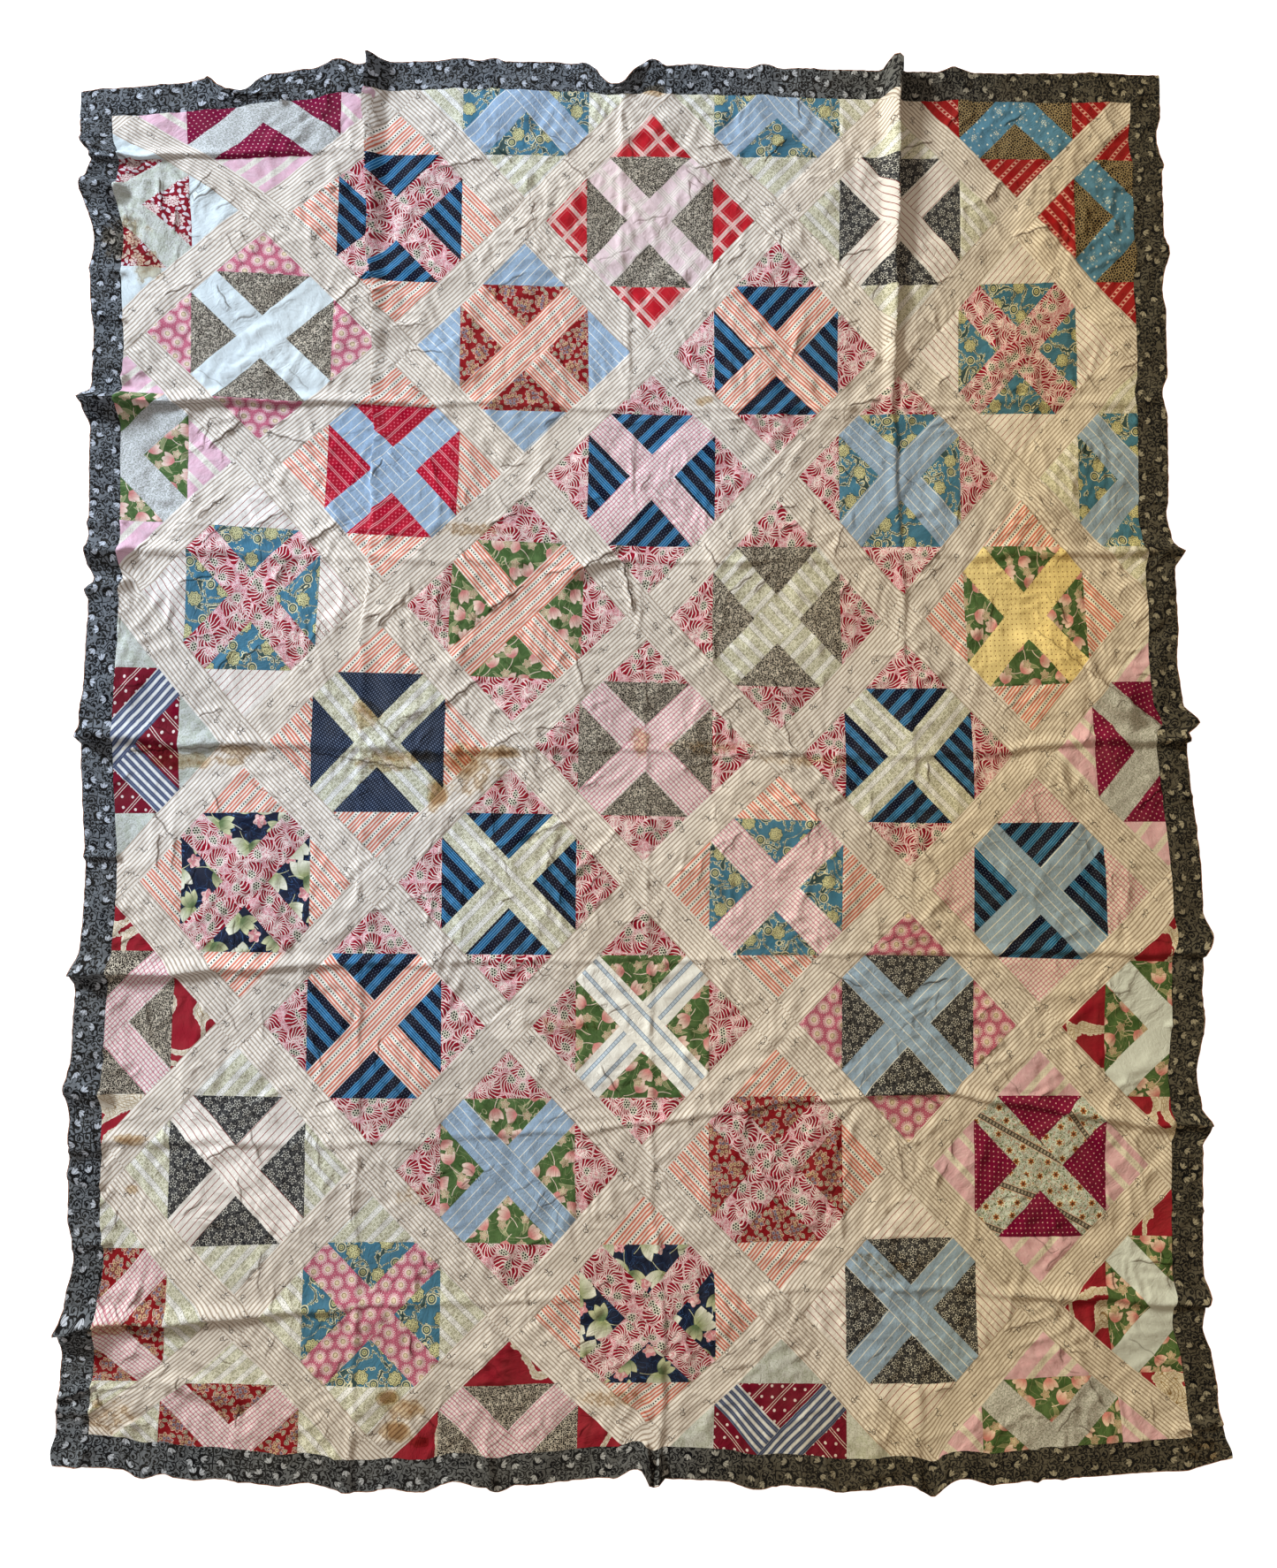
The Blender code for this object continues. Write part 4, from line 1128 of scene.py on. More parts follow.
class Draft:
    """A print on its node tree, in millimetres: across and along are places on the grain."""

    def __init__(self, tree, ground=None):
        self.tree = tree
        self.colour = ground
        self.point = self.node("ShaderNodeUVMap", uv_map="grain").outputs[0]
        parts = self.node("ShaderNodeSeparateXYZ")
        tree.links.new(self.point, parts.inputs[0])
        self.across = Value(self, parts.outputs[0])
        self.along = Value(self, parts.outputs[1])

    def node(self, kind, **settings):
        made = self.tree.nodes.new(kind)
        for name, setting in settings.items():
            setattr(made, name, setting)
        return made

    def plug(self, socket, value):
        if isinstance(value, Value):
            self.tree.links.new(value.socket, socket)
        elif isinstance(value, bpy.types.NodeSocket):
            self.tree.links.new(value, socket)
        else:
            socket.default_value = value

    def math(self, operation, *values, clamp=False):
        made = self.node("ShaderNodeMath", operation=operation, use_clamp=clamp)
        for socket, value in zip(made.inputs, values):
            self.plug(socket, value)
        return Value(self, made.outputs[0])

    def noise(self, size, detail=0.0, rough=0.5, warp=0.0, at=None):
        """Smooth noise with bumps about size across, mostly from 0.2 to 0.8."""
        made = self.node("ShaderNodeTexNoise", noise_dimensions="2D")
        self.plug(made.inputs["Vector"], self.point if at is None else at)
        made.inputs["Scale"].default_value = 1.0 / size
        made.inputs["Detail"].default_value = detail
        made.inputs["Roughness"].default_value = rough
        made.inputs["Distortion"].default_value = warp
        return Value(self, made.outputs[0])

    def slanted(self, angle, stretch):
        """Places on the grain turned by an angle and drawn out, for long thin figures."""
        made = self.node("ShaderNodeMapping")
        self.plug(made.inputs["Vector"], self.point)
        made.inputs["Rotation"].default_value = (0.0, 0.0, angle)
        made.inputs["Scale"].default_value = (1.0 / stretch, 1.0, 1.0)
        return made.outputs[0]

    def inside(self, distance, soft=0.3):
        """1 where a distance inside a shape is above 0, with a soft edge in millimetres."""
        return self.math("MULTIPLY_ADD", distance, 1.0 / soft, 0.5, clamp=True)

    def line(self, distance, wide, soft=0.3):
        return self.inside(wide / 2 - distance.size(), soft)

    def repeat(self, place, pitch, at=0.0):
        """The distance from the nearest of evenly spaced lines, with its sign."""
        share = self.math("MULTIPLY_ADD", place, 1.0 / pitch, 0.5 - at / pitch)
        return self.math("MULTIPLY_ADD", share.part(), pitch, -pitch / 2)

    def bands(self, pitch, wide, soft=0.3):
        return self.line(self.repeat(self.across, pitch), wide, soft)

    def cells(self, wide, high, stagger=0.5, wander=0.0, turn=0.0, shift=0.0):
        """Places within cells of a repeat, each counted from the middle of its motif."""
        row = self.along / high + shift
        column = self.across / wide + row.whole() * stagger + shift
        key = self.node("ShaderNodeCombineXYZ")
        self.plug(key.inputs[0], column.whole())
        self.plug(key.inputs[1], row.whole())
        toss = self.node("ShaderNodeTexWhiteNoise", noise_dimensions="2D")
        self.plug(toss.inputs["Vector"], key.outputs[0])
        chance = Value(self, toss.outputs[0])
        u = (column.part() - 0.5) * wide
        v = (row.part() - 0.5) * high
        if wander:
            u = u + (chance - 0.5) * wander
            v = v + ((chance * 7.0).part() - 0.5) * wander
        reach = (u * u + v * v).math("SQRT")
        angle = v.math("ARCTAN2", u)
        if turn:
            angle = angle + chance * turn
        return Cell(u, v, reach, angle, chance)

    def crowd(self, size, jitter=1.0, warp=0.0):
        """Uneven plots about size across, each counted from its own middle, and how far the
        nearest edge between two plots is."""
        point = self.point
        if warp:
            noise = self.node("ShaderNodeTexNoise", noise_dimensions="2D")
            noise.inputs["Scale"].default_value = 0.7 / size
            self.plug(noise.inputs["Vector"], point)
            moved = self.node("ShaderNodeVectorMath", operation="MULTIPLY_ADD")
            self.plug(moved.inputs[0], noise.outputs["Color"])
            moved.inputs[1].default_value = (2.0 * warp, 2.0 * warp, 0.0)
            self.plug(moved.inputs[2], point)
            point = moved.outputs[0]
        nets = []
        for feature in ("F1", "DISTANCE_TO_EDGE"):
            net = self.node("ShaderNodeTexVoronoi", voronoi_dimensions="2D", feature=feature)
            self.plug(net.inputs["Vector"], point)
            net.inputs["Scale"].default_value = 1.0 / size
            net.inputs["Randomness"].default_value = jitter
            nets.append(net)
        offset = self.node("ShaderNodeVectorMath", operation="SUBTRACT")
        self.plug(offset.inputs[0], point)
        self.plug(offset.inputs[1], nets[0].outputs["Position"])
        parts = self.node("ShaderNodeSeparateXYZ")
        self.plug(parts.inputs[0], offset.outputs[0])
        u, v = Value(self, parts.outputs[0]), Value(self, parts.outputs[1])
        toss = self.node("ShaderNodeSeparateColor")
        self.plug(toss.inputs[0], nets[0].outputs["Color"])
        edge = Value(self, nets[1].outputs["Distance"]) * size
        angle = v.math("ARCTAN2", u)
        return Plot(u, v, self.distance(u, v), angle, Value(self, toss.outputs[0]), edge)

    def distance(self, u, v):
        return (u * u + v * v).math("SQRT")

    def axis(self, cell, turn):
        """How far along and beside an axis of a cell a place is, with the axis turned."""
        spin = cell.angle + turn
        return cell.reach * spin.wave(), cell.reach * (spin - math.pi / 2).wave()

    def petal(self, run, aside, middle, long, wide):
        """How far inside a leaf shape a place is; middle is where the leaf's middle lies."""
        off = run - middle
        return wide / 2 - aside.size() - off * off * (2 * wide / long**2)

    def bloom(self, cell, petals, reach, depth):
        """How far inside a flower's outline a place is: depth is the share cut in by petals."""
        outline = (cell.angle * petals).wave() * (reach * depth / 2)
        return outline + reach * (1 - depth / 2) - cell.reach

    def mixed(self, share, low, high):
        made = self.node("ShaderNodeMix", data_type="RGBA")
        self.plug(made.inputs[0], share)
        self.plug(made.inputs[6], low)
        self.plug(made.inputs[7], high)
        return made.outputs[2]

    def paint(self, mask, colour):
        """Prints a colour over what is there, where the mask is 1."""
        self.colour = self.mixed(mask, self.colour, colour)

    def darken(self, mask, colour):
        """Darkens what is there by a colour, where the mask is 1."""
        made = self.node("ShaderNodeMix", data_type="RGBA", blend_type="MULTIPLY")
        self.plug(made.inputs[0], mask)
        self.plug(made.inputs[6], self.colour)
        self.plug(made.inputs[7], colour)
        self.colour = made.outputs[2]

    def grey(self, value):
        made = self.node("ShaderNodeCombineColor")
        for socket in made.inputs:
            self.plug(socket, value)
        return made.outputs[0]

    def pair(self, name):
        """The two numbers of one of the mesh's attributes."""
        parts = self.node("ShaderNodeSeparateXYZ")
        attribute = self.node("ShaderNodeAttribute", attribute_name=name)
        self.plug(parts.inputs[0], attribute.outputs["Vector"])
        return Value(self, parts.outputs[0]), Value(self, parts.outputs[1])


# %% [markdown]
# ## Aged cotton, with painted shade
# Under every print is the same aged cotton: a plain weave with slubs, faded unevenly, darker in
# the seams, with a painted shadow line and some dirt at the foot of creases, yellowed with painted
# warm shade towards one side, and stained as the mesh's attributes say, and with the pale wrong
# side of the print on its underside, where the pressed seam allowances show.
# It is one node group that all prints share, and its bump carries the weave and creases too
# small for the mesh. Each print is a function that is handed a drafting table with its ground
# colour, and becomes a material of the function's name.

# %% Aged cotton group, with painted shade
def aged_and_shaded_cotton():
    group = bpy.data.node_groups.new("aged_and_shaded_cotton", "ShaderNodeTree")
    group.interface.new_socket("Print", in_out="INPUT", socket_type="NodeSocketColor")
    group.interface.new_socket("Color", in_out="OUTPUT", socket_type="NodeSocketColor")
    group.interface.new_socket("Normal", in_out="OUTPUT", socket_type="NodeSocketVector")
    entry = group.nodes.new("NodeGroupInput")
    cloth = Draft(group, entry.outputs[0])
    brown, yellowing_and_shade = cloth.pair("marks")
    foot, dark = cloth.pair("crease")
    gap, chance = cloth.pair("seam")
    normal = cloth.node("ShaderNodeSeparateXYZ")
    cloth.plug(normal.inputs[0], cloth.node("ShaderNodeNewGeometry").outputs["Normal"])
    below = cloth.inside(Value(cloth, normal.outputs[2]) * -1.0 - 0.2, 0.4)

    fade = cloth.noise(38.0, detail=3.0)
    cloth.paint(cloth.inside(fade - 0.5, 0.5) * 0.025, dye(236, 226, 206))
    threads = cloth.noise(0.9, detail=1.0)
    cloth.darken(1.0, cloth.grey(cloth.math("MULTIPLY_ADD", threads, 0.30, 0.85)))
    cloth.darken(1.0, cloth.grey(cloth.math("MULTIPLY_ADD", chance, 0.14, 0.92)))
    # Yellowing, partly painted warm shade towards the right and the foot.
    cloth.darken(yellowing_and_shade, dye(247, 224, 182))
    brown_blot = brown + (cloth.noise(11.0, detail=3.0, rough=0.6) - 0.5) * 0.55
    cloth.darken(cloth.inside(brown_blot - 0.34, 0.30) * 0.9, dye(232, 214, 184))
    cloth.darken(cloth.inside(brown_blot - 0.62, 0.20) * 0.8, dye(186, 152, 114))
    cloth.darken(cloth.line(brown_blot - 0.40, 0.06, 0.05) * 0.6, dye(166, 132, 94))
    cloth.darken(cloth.inside(0.4 - gap, 0.9) * 0.14, dye(120, 104, 88))
    # Painted shadow, with some dirt: a dark line at the foot of creases and folds.
    cloth.darken(cloth.line(foot, 1.6, 1.6) * dark, dye(104, 76, 52))

    back = cloth.mixed(0.55, cloth.colour, dye(222, 214, 198))
    edge = cloth.line(gap - 6.5, 0.8)
    back = cloth.mixed(edge * 0.5, back, dye(128, 118, 104))
    cloth.colour = cloth.mixed(below, cloth.colour, back)

    fine = cloth.noise(9.0, detail=2.0, warp=0.4)
    first = cloth.noise(13.0, detail=3.0, rough=0.6, warp=0.6, at=cloth.slanted(0.9, 2.4))
    second = cloth.noise(11.0, detail=3.0, rough=0.6, warp=0.6, at=cloth.slanted(-0.5, 2.4))
    crinkle = (first - 0.5).size() * -1.4 + (second - 0.5).size() * -1.1
    ridge = (fine - 0.5).size() * -0.5 + crinkle
    pucker = cloth.inside(2.0 - gap, 3.0) * -0.10
    sharp = cloth.line(foot, 1.8, 2.6) * dark * -1.3
    height = threads * 0.12 + ridge + pucker + sharp
    bump = cloth.node("ShaderNodeBump")
    bump.inputs["Strength"].default_value = 1.0
    bump.inputs["Distance"].default_value = 0.001
    cloth.plug(bump.inputs["Height"], height)
    leave = group.nodes.new("NodeGroupOutput")
    cloth.plug(leave.inputs[0], cloth.colour)
    cloth.plug(leave.inputs[1], bump.outputs[0])
    return group


# %% A print as a material
AGED_AND_SHADED_COTTON = aged_and_shaded_cotton()
COTTON_ROUGHNESS = 0.92
COTTON_SHINE = 0.06
drafted = {}


def printed_on(red, green, blue):
    """Drafts a print on a ground colour, laid on aged cotton, with its painted shade and its dull, fuzzy
    surface.
    """

    def draft_print(lay_print):
        material = bpy.data.materials.new(lay_print.__name__)
        material.use_nodes = True
        draft = Draft(material.node_tree, dye(red, green, blue))
        lay_print(draft)
        cotton = draft.node("ShaderNodeGroup", node_tree=AGED_AND_SHADED_COTTON)
        draft.plug(cotton.inputs[0], draft.colour)
        shader = draft.tree.nodes["Principled BSDF"]
        draft.plug(shader.inputs["Base Color"], cotton.outputs[0])
        draft.plug(shader.inputs["Normal"], cotton.outputs[1])
        shader.inputs["Roughness"].default_value = COTTON_ROUGHNESS
        shader.inputs["Specular IOR Level"].default_value = COTTON_SHINE
        drafted[lay_print.__name__] = material
        return lay_print

    return draft_print


# %% [markdown]
# ## The striped cloths
# Woven and printed stripes, checks and shirtings. Bands are laid by their distance from evenly
# spaced lines along the grain.

# %% Stripes
@printed_on(9, 16, 40)
def navy_stripe(d):
    d.paint(d.inside(0.62 - d.cells(4.3, 4.3).reach) * 0.8, dye(120, 136, 164))
    band = d.repeat(d.across, 23.4)
    group = d.inside(5.2 - band.size())
    d.paint(group, dye(22, 92, 148))
    d.paint(d.line(d.repeat(band, 3.3, 1.65), 1.0) * group, dye(104, 170, 214))


@printed_on(250, 234, 228)
def coral_stripe(d):
    band = d.repeat(d.across, 20.0, 10.0)
    d.paint(d.line(d.repeat(band.size(), 4.9, 5.2), 2.5, 0.8), dye(216, 116, 94))
    d.paint(d.line(band, 5.2), dye(248, 245, 238))
    beads = d.repeat(d.along, 4.4)
    d.paint(d.line(band, 2.1) * d.line(beads, 2.4), dye(26, 30, 32))


@printed_on(164, 192, 226)
def chambray(d):
    d.paint(d.inside(d.noise(9.0, detail=4.0, rough=0.7) - 0.5, 0.25) * 0.4, dye(160, 172, 182))
    d.paint(d.inside(d.noise(2.2, detail=2.0) - 0.5, 0.3) * 0.35, dye(124, 156, 194))
    d.paint(d.bands(12.6, 1.2), dye(240, 242, 240))


@printed_on(246, 242, 240)
def cream_redline(d):
    d.paint(d.bands(8.7, 1.05), dye(158, 80, 74))


@printed_on(120, 8, 40)
def maroon_stripe_dot(d):
    band = d.repeat(d.across, 28.0)
    d.paint(d.line(band.size() - 1.7, 1.0), dye(240, 222, 218))
    for side, start_at in ((8.0, 0.0), (-8.0, 11.0)):
        bead = d.repeat(d.along, 22.0, start_at)
        d.paint(d.inside(2.2 - d.distance(band - side, bead)), dye(236, 222, 222))


@printed_on(234, 236, 238)
def shirting(d):
    band = d.repeat(d.across, 10.8)
    d.paint(d.line(band, 5.8), dye(74, 86, 122))
    d.paint(d.line(band, 1.0) * 0.5, dye(150, 158, 176))
    d.paint(d.line(band.size() - 3.5, 0.5) * 0.6, dye(110, 120, 146))


@printed_on(252, 254, 255)
def white_bluestripe(d):
    band = d.repeat(d.across, 23.0, 11.5)
    d.paint(d.line(band, 5.0), dye(206, 224, 246))
    check = d.line(d.repeat(d.along, 5.2), 1.4)
    d.paint(d.line(band, 4.4) * check * 0.4, dye(110, 130, 156))
    d.paint(d.line(band.size() - 2.6, 0.8), dye(84, 112, 146))


@printed_on(236, 200, 220)
def pink_stripe(d):
    d.paint(d.inside(d.noise(12.0, detail=3.0) - 0.5, 0.4) * 0.4, dye(228, 168, 194))
    band = d.repeat(d.across, 33.0)
    d.paint(d.line(band, 9.5), dye(238, 234, 228))
    zigzag = d.repeat(d.along, 6.0).size() - 1.5
    d.paint(d.line(band - zigzag, 0.7) * d.line(band, 8.0) * 0.5, dye(140, 142, 124))


@printed_on(180, 8, 46)
def red_dotstripe(d):
    band = d.repeat(d.across, 17.5)
    bead = d.cells(8.75, 3.6, shift=0.25)
    far = d.inside(band.size() - 2.6)
    d.paint(d.inside(1.15 - bead.reach) * far, dye(230, 104, 130))
    d.paint(d.line(band.size() - 1.3, 0.9), dye(240, 176, 188))


@printed_on(164, 24, 30)
def red_chain(d):
    band = d.repeat(d.across, 19.0)
    link = d.cells(19.0, 8.0, 0.0)
    run, aside = d.axis(link, 0.6)
    d.paint(d.inside(d.petal(run, aside, 0.0, 7.0, 3.0)), dye(236, 186, 176))
    d.paint(d.line(band.size() - 7.0, 0.9), dye(232, 164, 160))


# %% Checks and plaids
@printed_on(244, 238, 240)
def pink_grid(d):
    wobble = (d.noise(9.0) - 0.5) * 1.5
    d.paint(d.line(d.repeat(d.across + wobble, 5.6), 1.4, 0.5) * 0.85, dye(200, 86, 122))
    d.paint(d.line(d.repeat(d.along + wobble, 5.6), 1.2, 0.5) * 0.70, dye(206, 100, 134))
    tick = d.cells(11.2, 11.2, 0.0, wander=3.0)
    d.paint(d.inside(1.1 - tick.reach) * 0.6, dye(170, 120, 130))


@printed_on(240, 218, 226)
def pink_plaid(d):
    for place in (d.across, d.along):
        band = d.repeat(place, 30.0)
        d.paint(d.inside(5.0 - band.size()) * 0.6, dye(246, 236, 234))
        d.paint(d.line(d.repeat(band, 3.6), 0.8) * d.inside(6.0 - band.size()) * 0.7, dye(176, 176, 164))


@printed_on(196, 26, 44)
def red_plaid(d):
    for place in (d.across, d.along):
        band = d.repeat(place, 34.0)
        d.paint(d.inside(3.2 - band.size()) * 0.9, dye(242, 216, 212))
        d.paint(d.line(d.repeat(band, 3.4), 0.9) * d.inside(9.0 - band.size()) * 0.8, dye(222, 120, 126))


# %% [markdown]
# ## Dots, sprigs and small figures
# Here a motif sits in every cell of a repeat: a dot, a bead or a flower of a few petals, whose
# outline is a circle pulled in between the petals.

# %% Dots and small figures
@printed_on(128, 8, 62)
def maroon_dot(d):
    d.paint(d.inside(1.0 - d.cells(9.4, 5.4).reach), dye(234, 184, 192))


@printed_on(254, 234, 168)
def yellow_dot(d):
    d.paint(d.inside(1.0 - d.cells(10.6, 5.4).reach), dye(150, 106, 60))


@printed_on(24, 36, 58)
def navy_dash(d):
    dash = d.cells(3.4, 5.0)
    d.paint(d.line(dash.u, 1.0) * d.line(dash.v, 3.0), dye(112, 128, 160))


@printed_on(90, 144, 184)
def blue_sprig(d):
    d.paint(d.inside(1.7 - d.cells(17.0, 14.0, wander=4.0).reach), dye(226, 236, 238))
    sprig = d.cells(42.0, 34.0, wander=6.0, turn=6.0, shift=0.3)
    frond = d.bloom(sprig, 7, 10.0, 0.8)
    d.paint(d.line(frond, 1.0) * d.inside(d.noise(5.0) - 0.42), dye(206, 224, 226))
    d.paint(d.inside(1.2 - d.cells(3.6, 3.6).reach) * d.inside(4.5 - sprig.reach), dye(230, 236, 228))


@printed_on(190, 100, 128)
def pink_mum(d):
    d.paint(d.inside(0.7 - d.cells(4.2, 4.2).reach) * 0.6, dye(240, 186, 192))
    head = d.cells(22.0, 20.0, wander=3.0)
    d.paint(d.inside(d.bloom(head, 18, 9.8, 0.3)), dye(240, 222, 226))
    d.paint(d.line(d.bloom(head, 18, 7.6, 0.3), 1.1), dye(202, 98, 120))
    d.paint(d.inside(4.2 - head.reach), dye(232, 214, 188))
    d.paint(d.line(head.reach - 3.0, 0.9), dye(150, 120, 96))


@printed_on(36, 37, 43)
def charcoal_flower(d):
    worm = d.noise(3.4, warp=0.4) - 0.5
    d.paint(d.line(worm * 16.0, 1.3, 0.5) * 0.7, dye(164, 164, 164))
    head = d.cells(17.0, 15.0, wander=3.0, turn=6.0)
    shape = d.bloom(head, 5, 6.3, 0.62)
    d.paint(d.inside(shape + 1.2), dye(26, 26, 30))
    d.paint(d.line(shape, 1.3), dye(216, 216, 212))
    d.paint(d.inside(1.0 - head.reach), dye(216, 216, 210))


@printed_on(140, 16, 42)
def red_flower(d):
    drop = d.crowd(11.0, jitter=0.5)
    run, aside = d.axis(drop, drop.chance * 30.0)
    curved = aside + run * run * 0.06
    d.paint(d.inside(d.petal(run, curved, 0.0, 11.0, 5.9)), dye(230, 220, 230))
    head = d.cells(34.0, 30.0, wander=5.0, turn=6.0)
    shape = d.bloom(head, 10, 12.0, 0.25)
    d.paint(d.inside(shape + 1.6), dye(140, 16, 42))
    d.paint(d.inside(shape), dye(232, 212, 212))
    d.paint(d.inside(1.0 - d.crowd(3.4).reach) * d.inside(8.5 - head.reach), dye(150, 60, 76))


@printed_on(142, 12, 26)
def red_paisley(d):
    """Round drops between larger rounds of small rosettes."""
    drop = d.crowd(12.0, jitter=0.6)
    run, aside = d.axis(drop, drop.chance * 30.0)
    shape = d.petal(run, aside + run * run * 0.06, 0.0, 9.8, 6.8)
    d.paint(d.inside(shape), dye(208, 188, 170))
    d.paint(d.inside(shape - 1.0), dye(112, 92, 84))
    d.paint(d.inside(shape - 2.0), dye(190, 182, 160))
    disc = d.cells(33.0, 29.0, wander=5.0, turn=6.0)
    rim = d.bloom(disc, 9, 12.5, 0.28)
    d.paint(d.inside(rim + 1.6), dye(142, 12, 26))
    d.paint(d.line(rim, 1.3), dye(226, 180, 168))
    heart = d.inside(rim - 0.8)
    d.paint(heart, dye(140, 76, 72))
    rosette = d.crowd(6.2, jitter=0.4)
    d.paint(d.inside(2.6 - rosette.reach) * heart, dye(208, 176, 140))
    blue = d.inside(rosette.chance - 0.55, 0.01)
    d.paint(d.inside(2.4 - rosette.reach) * heart * blue, dye(138, 134, 160))
    d.paint(d.inside(1.0 - rosette.reach) * heart, dye(92, 44, 48))


@printed_on(222, 235, 244)
def white_plain(d):
    d.paint(d.inside(d.noise(30.0, detail=3.0) - 0.55, 0.3) * 0.3, dye(206, 216, 224))


# %% [markdown]
# ## Scrolls, leaves and all-over figures
# Winding lines come from noise: wherever it crosses a level, a thin line is drawn, and one
# noise read at several levels gives lines that run side by side, as a scroll's do. A crowd of
# uneven plots, each with its own middle and chance, packs fans and leaves closely.

# %% Worms and specks
@printed_on(44, 38, 36)
def brown_vermicular(d):
    worm = d.noise(2.9, warp=0.25) - 0.5
    d.paint(d.line(worm * 14.0, 2.1, 0.7), dye(222, 214, 200))


@printed_on(34, 30, 26)
def brown_net(d):
    net = d.crowd(4.4, jitter=0.9)
    d.paint(d.line(net.edge, 1.0, 0.4), dye(176, 156, 118))


@printed_on(244, 245, 246)
def cream_floral(d):
    band = d.repeat(d.across, 22.0)
    busy = d.inside(6.8 - band.size())
    d.paint(busy * 0.6, dye(220, 220, 188))
    floret = d.crowd(5.0, jitter=0.8)
    ring = d.line(floret.reach - 1.2, 0.8) * d.inside(0.8 - floret.chance, 0.01)
    d.paint(ring * busy * 0.8, dye(138, 136, 96))
    d.paint(d.inside(0.7 - d.crowd(3.2, jitter=0.7).reach) * 0.7, dye(132, 132, 104))
    beads = d.line(d.repeat(d.along, 2.4), 1.4)
    d.paint(d.line(band.size() - 7.2, 0.8) * beads * 0.8, dye(96, 92, 78))


@printed_on(218, 234, 238)
def mint_floral(d):
    sprig = d.noise(3.6, detail=2.0, rough=0.6, warp=0.8)
    d.paint(d.inside(sprig - 0.57, 0.08) * 0.9, dye(104, 116, 76))
    d.paint(d.inside(0.4 - sprig, 0.08) * 0.8, dye(170, 108, 76))
    head = d.cells(23.0, 21.0, wander=6.0, turn=6.0)
    d.paint(d.inside(d.bloom(head, 6, 6.8, 0.3)), dye(232, 236, 216))
    d.paint(d.inside(d.bloom(head, 6, 5.2, 0.4)), dye(164, 96, 50))
    d.paint(d.inside(1.8 - head.reach), dye(84, 60, 44))
    edge = d.repeat(d.across, 64.0, -21.0)
    d.paint(d.line(edge, 7.0), dye(84, 80, 76))
    d.paint(d.line(edge, 4.0) * d.inside(1.4 - d.repeat(d.along, 5.6).size()), dye(176, 170, 160))
    d.paint(d.line(edge.size() - 4.0, 0.8), dye(232, 190, 176))


# %% Vines, lilies and tulips
@printed_on(72, 126, 156)
def teal_floral(d):
    cream, dark = dye(238, 232, 196), dye(60, 86, 90)
    vine = (d.noise(30.0, detail=1.0, rough=0.4, warp=0.8) - 0.5) * 110.0
    leaf = d.crowd(6.4, jitter=0.7)
    near = d.inside(9.0 - vine.size()) * d.inside(vine.size() - 3.6)
    d.paint(d.line(leaf.reach - 1.9, 0.9) * near, cream)
    d.paint(d.inside(1.3 - leaf.reach) * near * 0.7, dye(96, 102, 66))
    d.paint(d.inside(3.0 - vine.size()), dark)
    d.paint(d.line(vine.size() - 3.0, 1.2), cream)
    head = d.cells(48.0, 41.0, wander=8.0, turn=6.0)
    shape = d.bloom(head, 8, 10.5, 0.16)
    d.paint(d.inside(shape + 1.2), dark)
    d.paint(d.inside(shape), dye(216, 214, 166))
    speck = d.crowd(2.9, jitter=0.6)
    d.paint(d.inside(0.75 - speck.reach) * d.inside(shape - 1.6), dye(58, 60, 50))
    d.paint(d.line(shape - 1.5, 0.7), dye(128, 126, 84))
    bead = d.cells(48.0, 41.0, wander=8.0, shift=0.5)
    d.paint(d.inside(7.0 - bead.reach), dark)
    d.paint(d.line(bead.reach - 6.6, 1.3), cream)
    d.paint(d.inside(3.9 - bead.reach), dye(206, 202, 150))
    d.paint(d.line(bead.reach - 1.9, 1.0), dark)


def lily(d, cell, turn, size, light, shade):
    """A flower seen from the side: three petals that spread from a stem, one behind another."""
    run, aside = d.axis(cell, turn)
    d.paint(d.line(aside + run * run * 0.02, 1.1) * d.inside(-2.0 - run) * d.inside(run + size), light)
    for way in (-0.55, 0.55, 0.0):
        run, aside = d.axis(cell, cell.chance * 0.4 + (turn + way))
        petal = d.petal(run, aside, size * 0.42, size, size * 0.46)
        d.paint(d.inside(petal), d.mixed(d.inside(run - size * 0.45, size * 0.6), shade, light))
        d.paint(d.line(petal, 0.6) * 0.6, shade)


@printed_on(22, 32, 58)
def navy_lily(d):
    vine = (d.noise(22.0, detail=1.0, warp=0.8) - 0.5) * 80.0
    d.paint(d.line(vine.size() - 3.0, 0.8) * 0.8, dye(70, 110, 168))
    rose = d.cells(56.0, 50.0, wander=8.0, turn=6.0, shift=0.5)
    shape = d.bloom(rose, 5, 11.0, 0.3)
    curl = d.noise(7.0, warp=1.0) - 0.5
    d.paint(d.inside(shape), dye(226, 148, 158))
    d.paint(d.inside(curl, 0.1) * d.inside(shape), dye(244, 206, 206))
    d.paint(d.line(curl * 20.0, 0.6) * d.inside(shape), dye(170, 80, 96))
    flower = d.cells(56.0, 50.0, wander=6.0, turn=6.0)
    lily(d, flower, 0.0, 38.0, dye(244, 244, 232), dye(158, 168, 122))
    lily(d, flower, 2.4, 28.0, dye(212, 214, 176), dye(104, 124, 86))


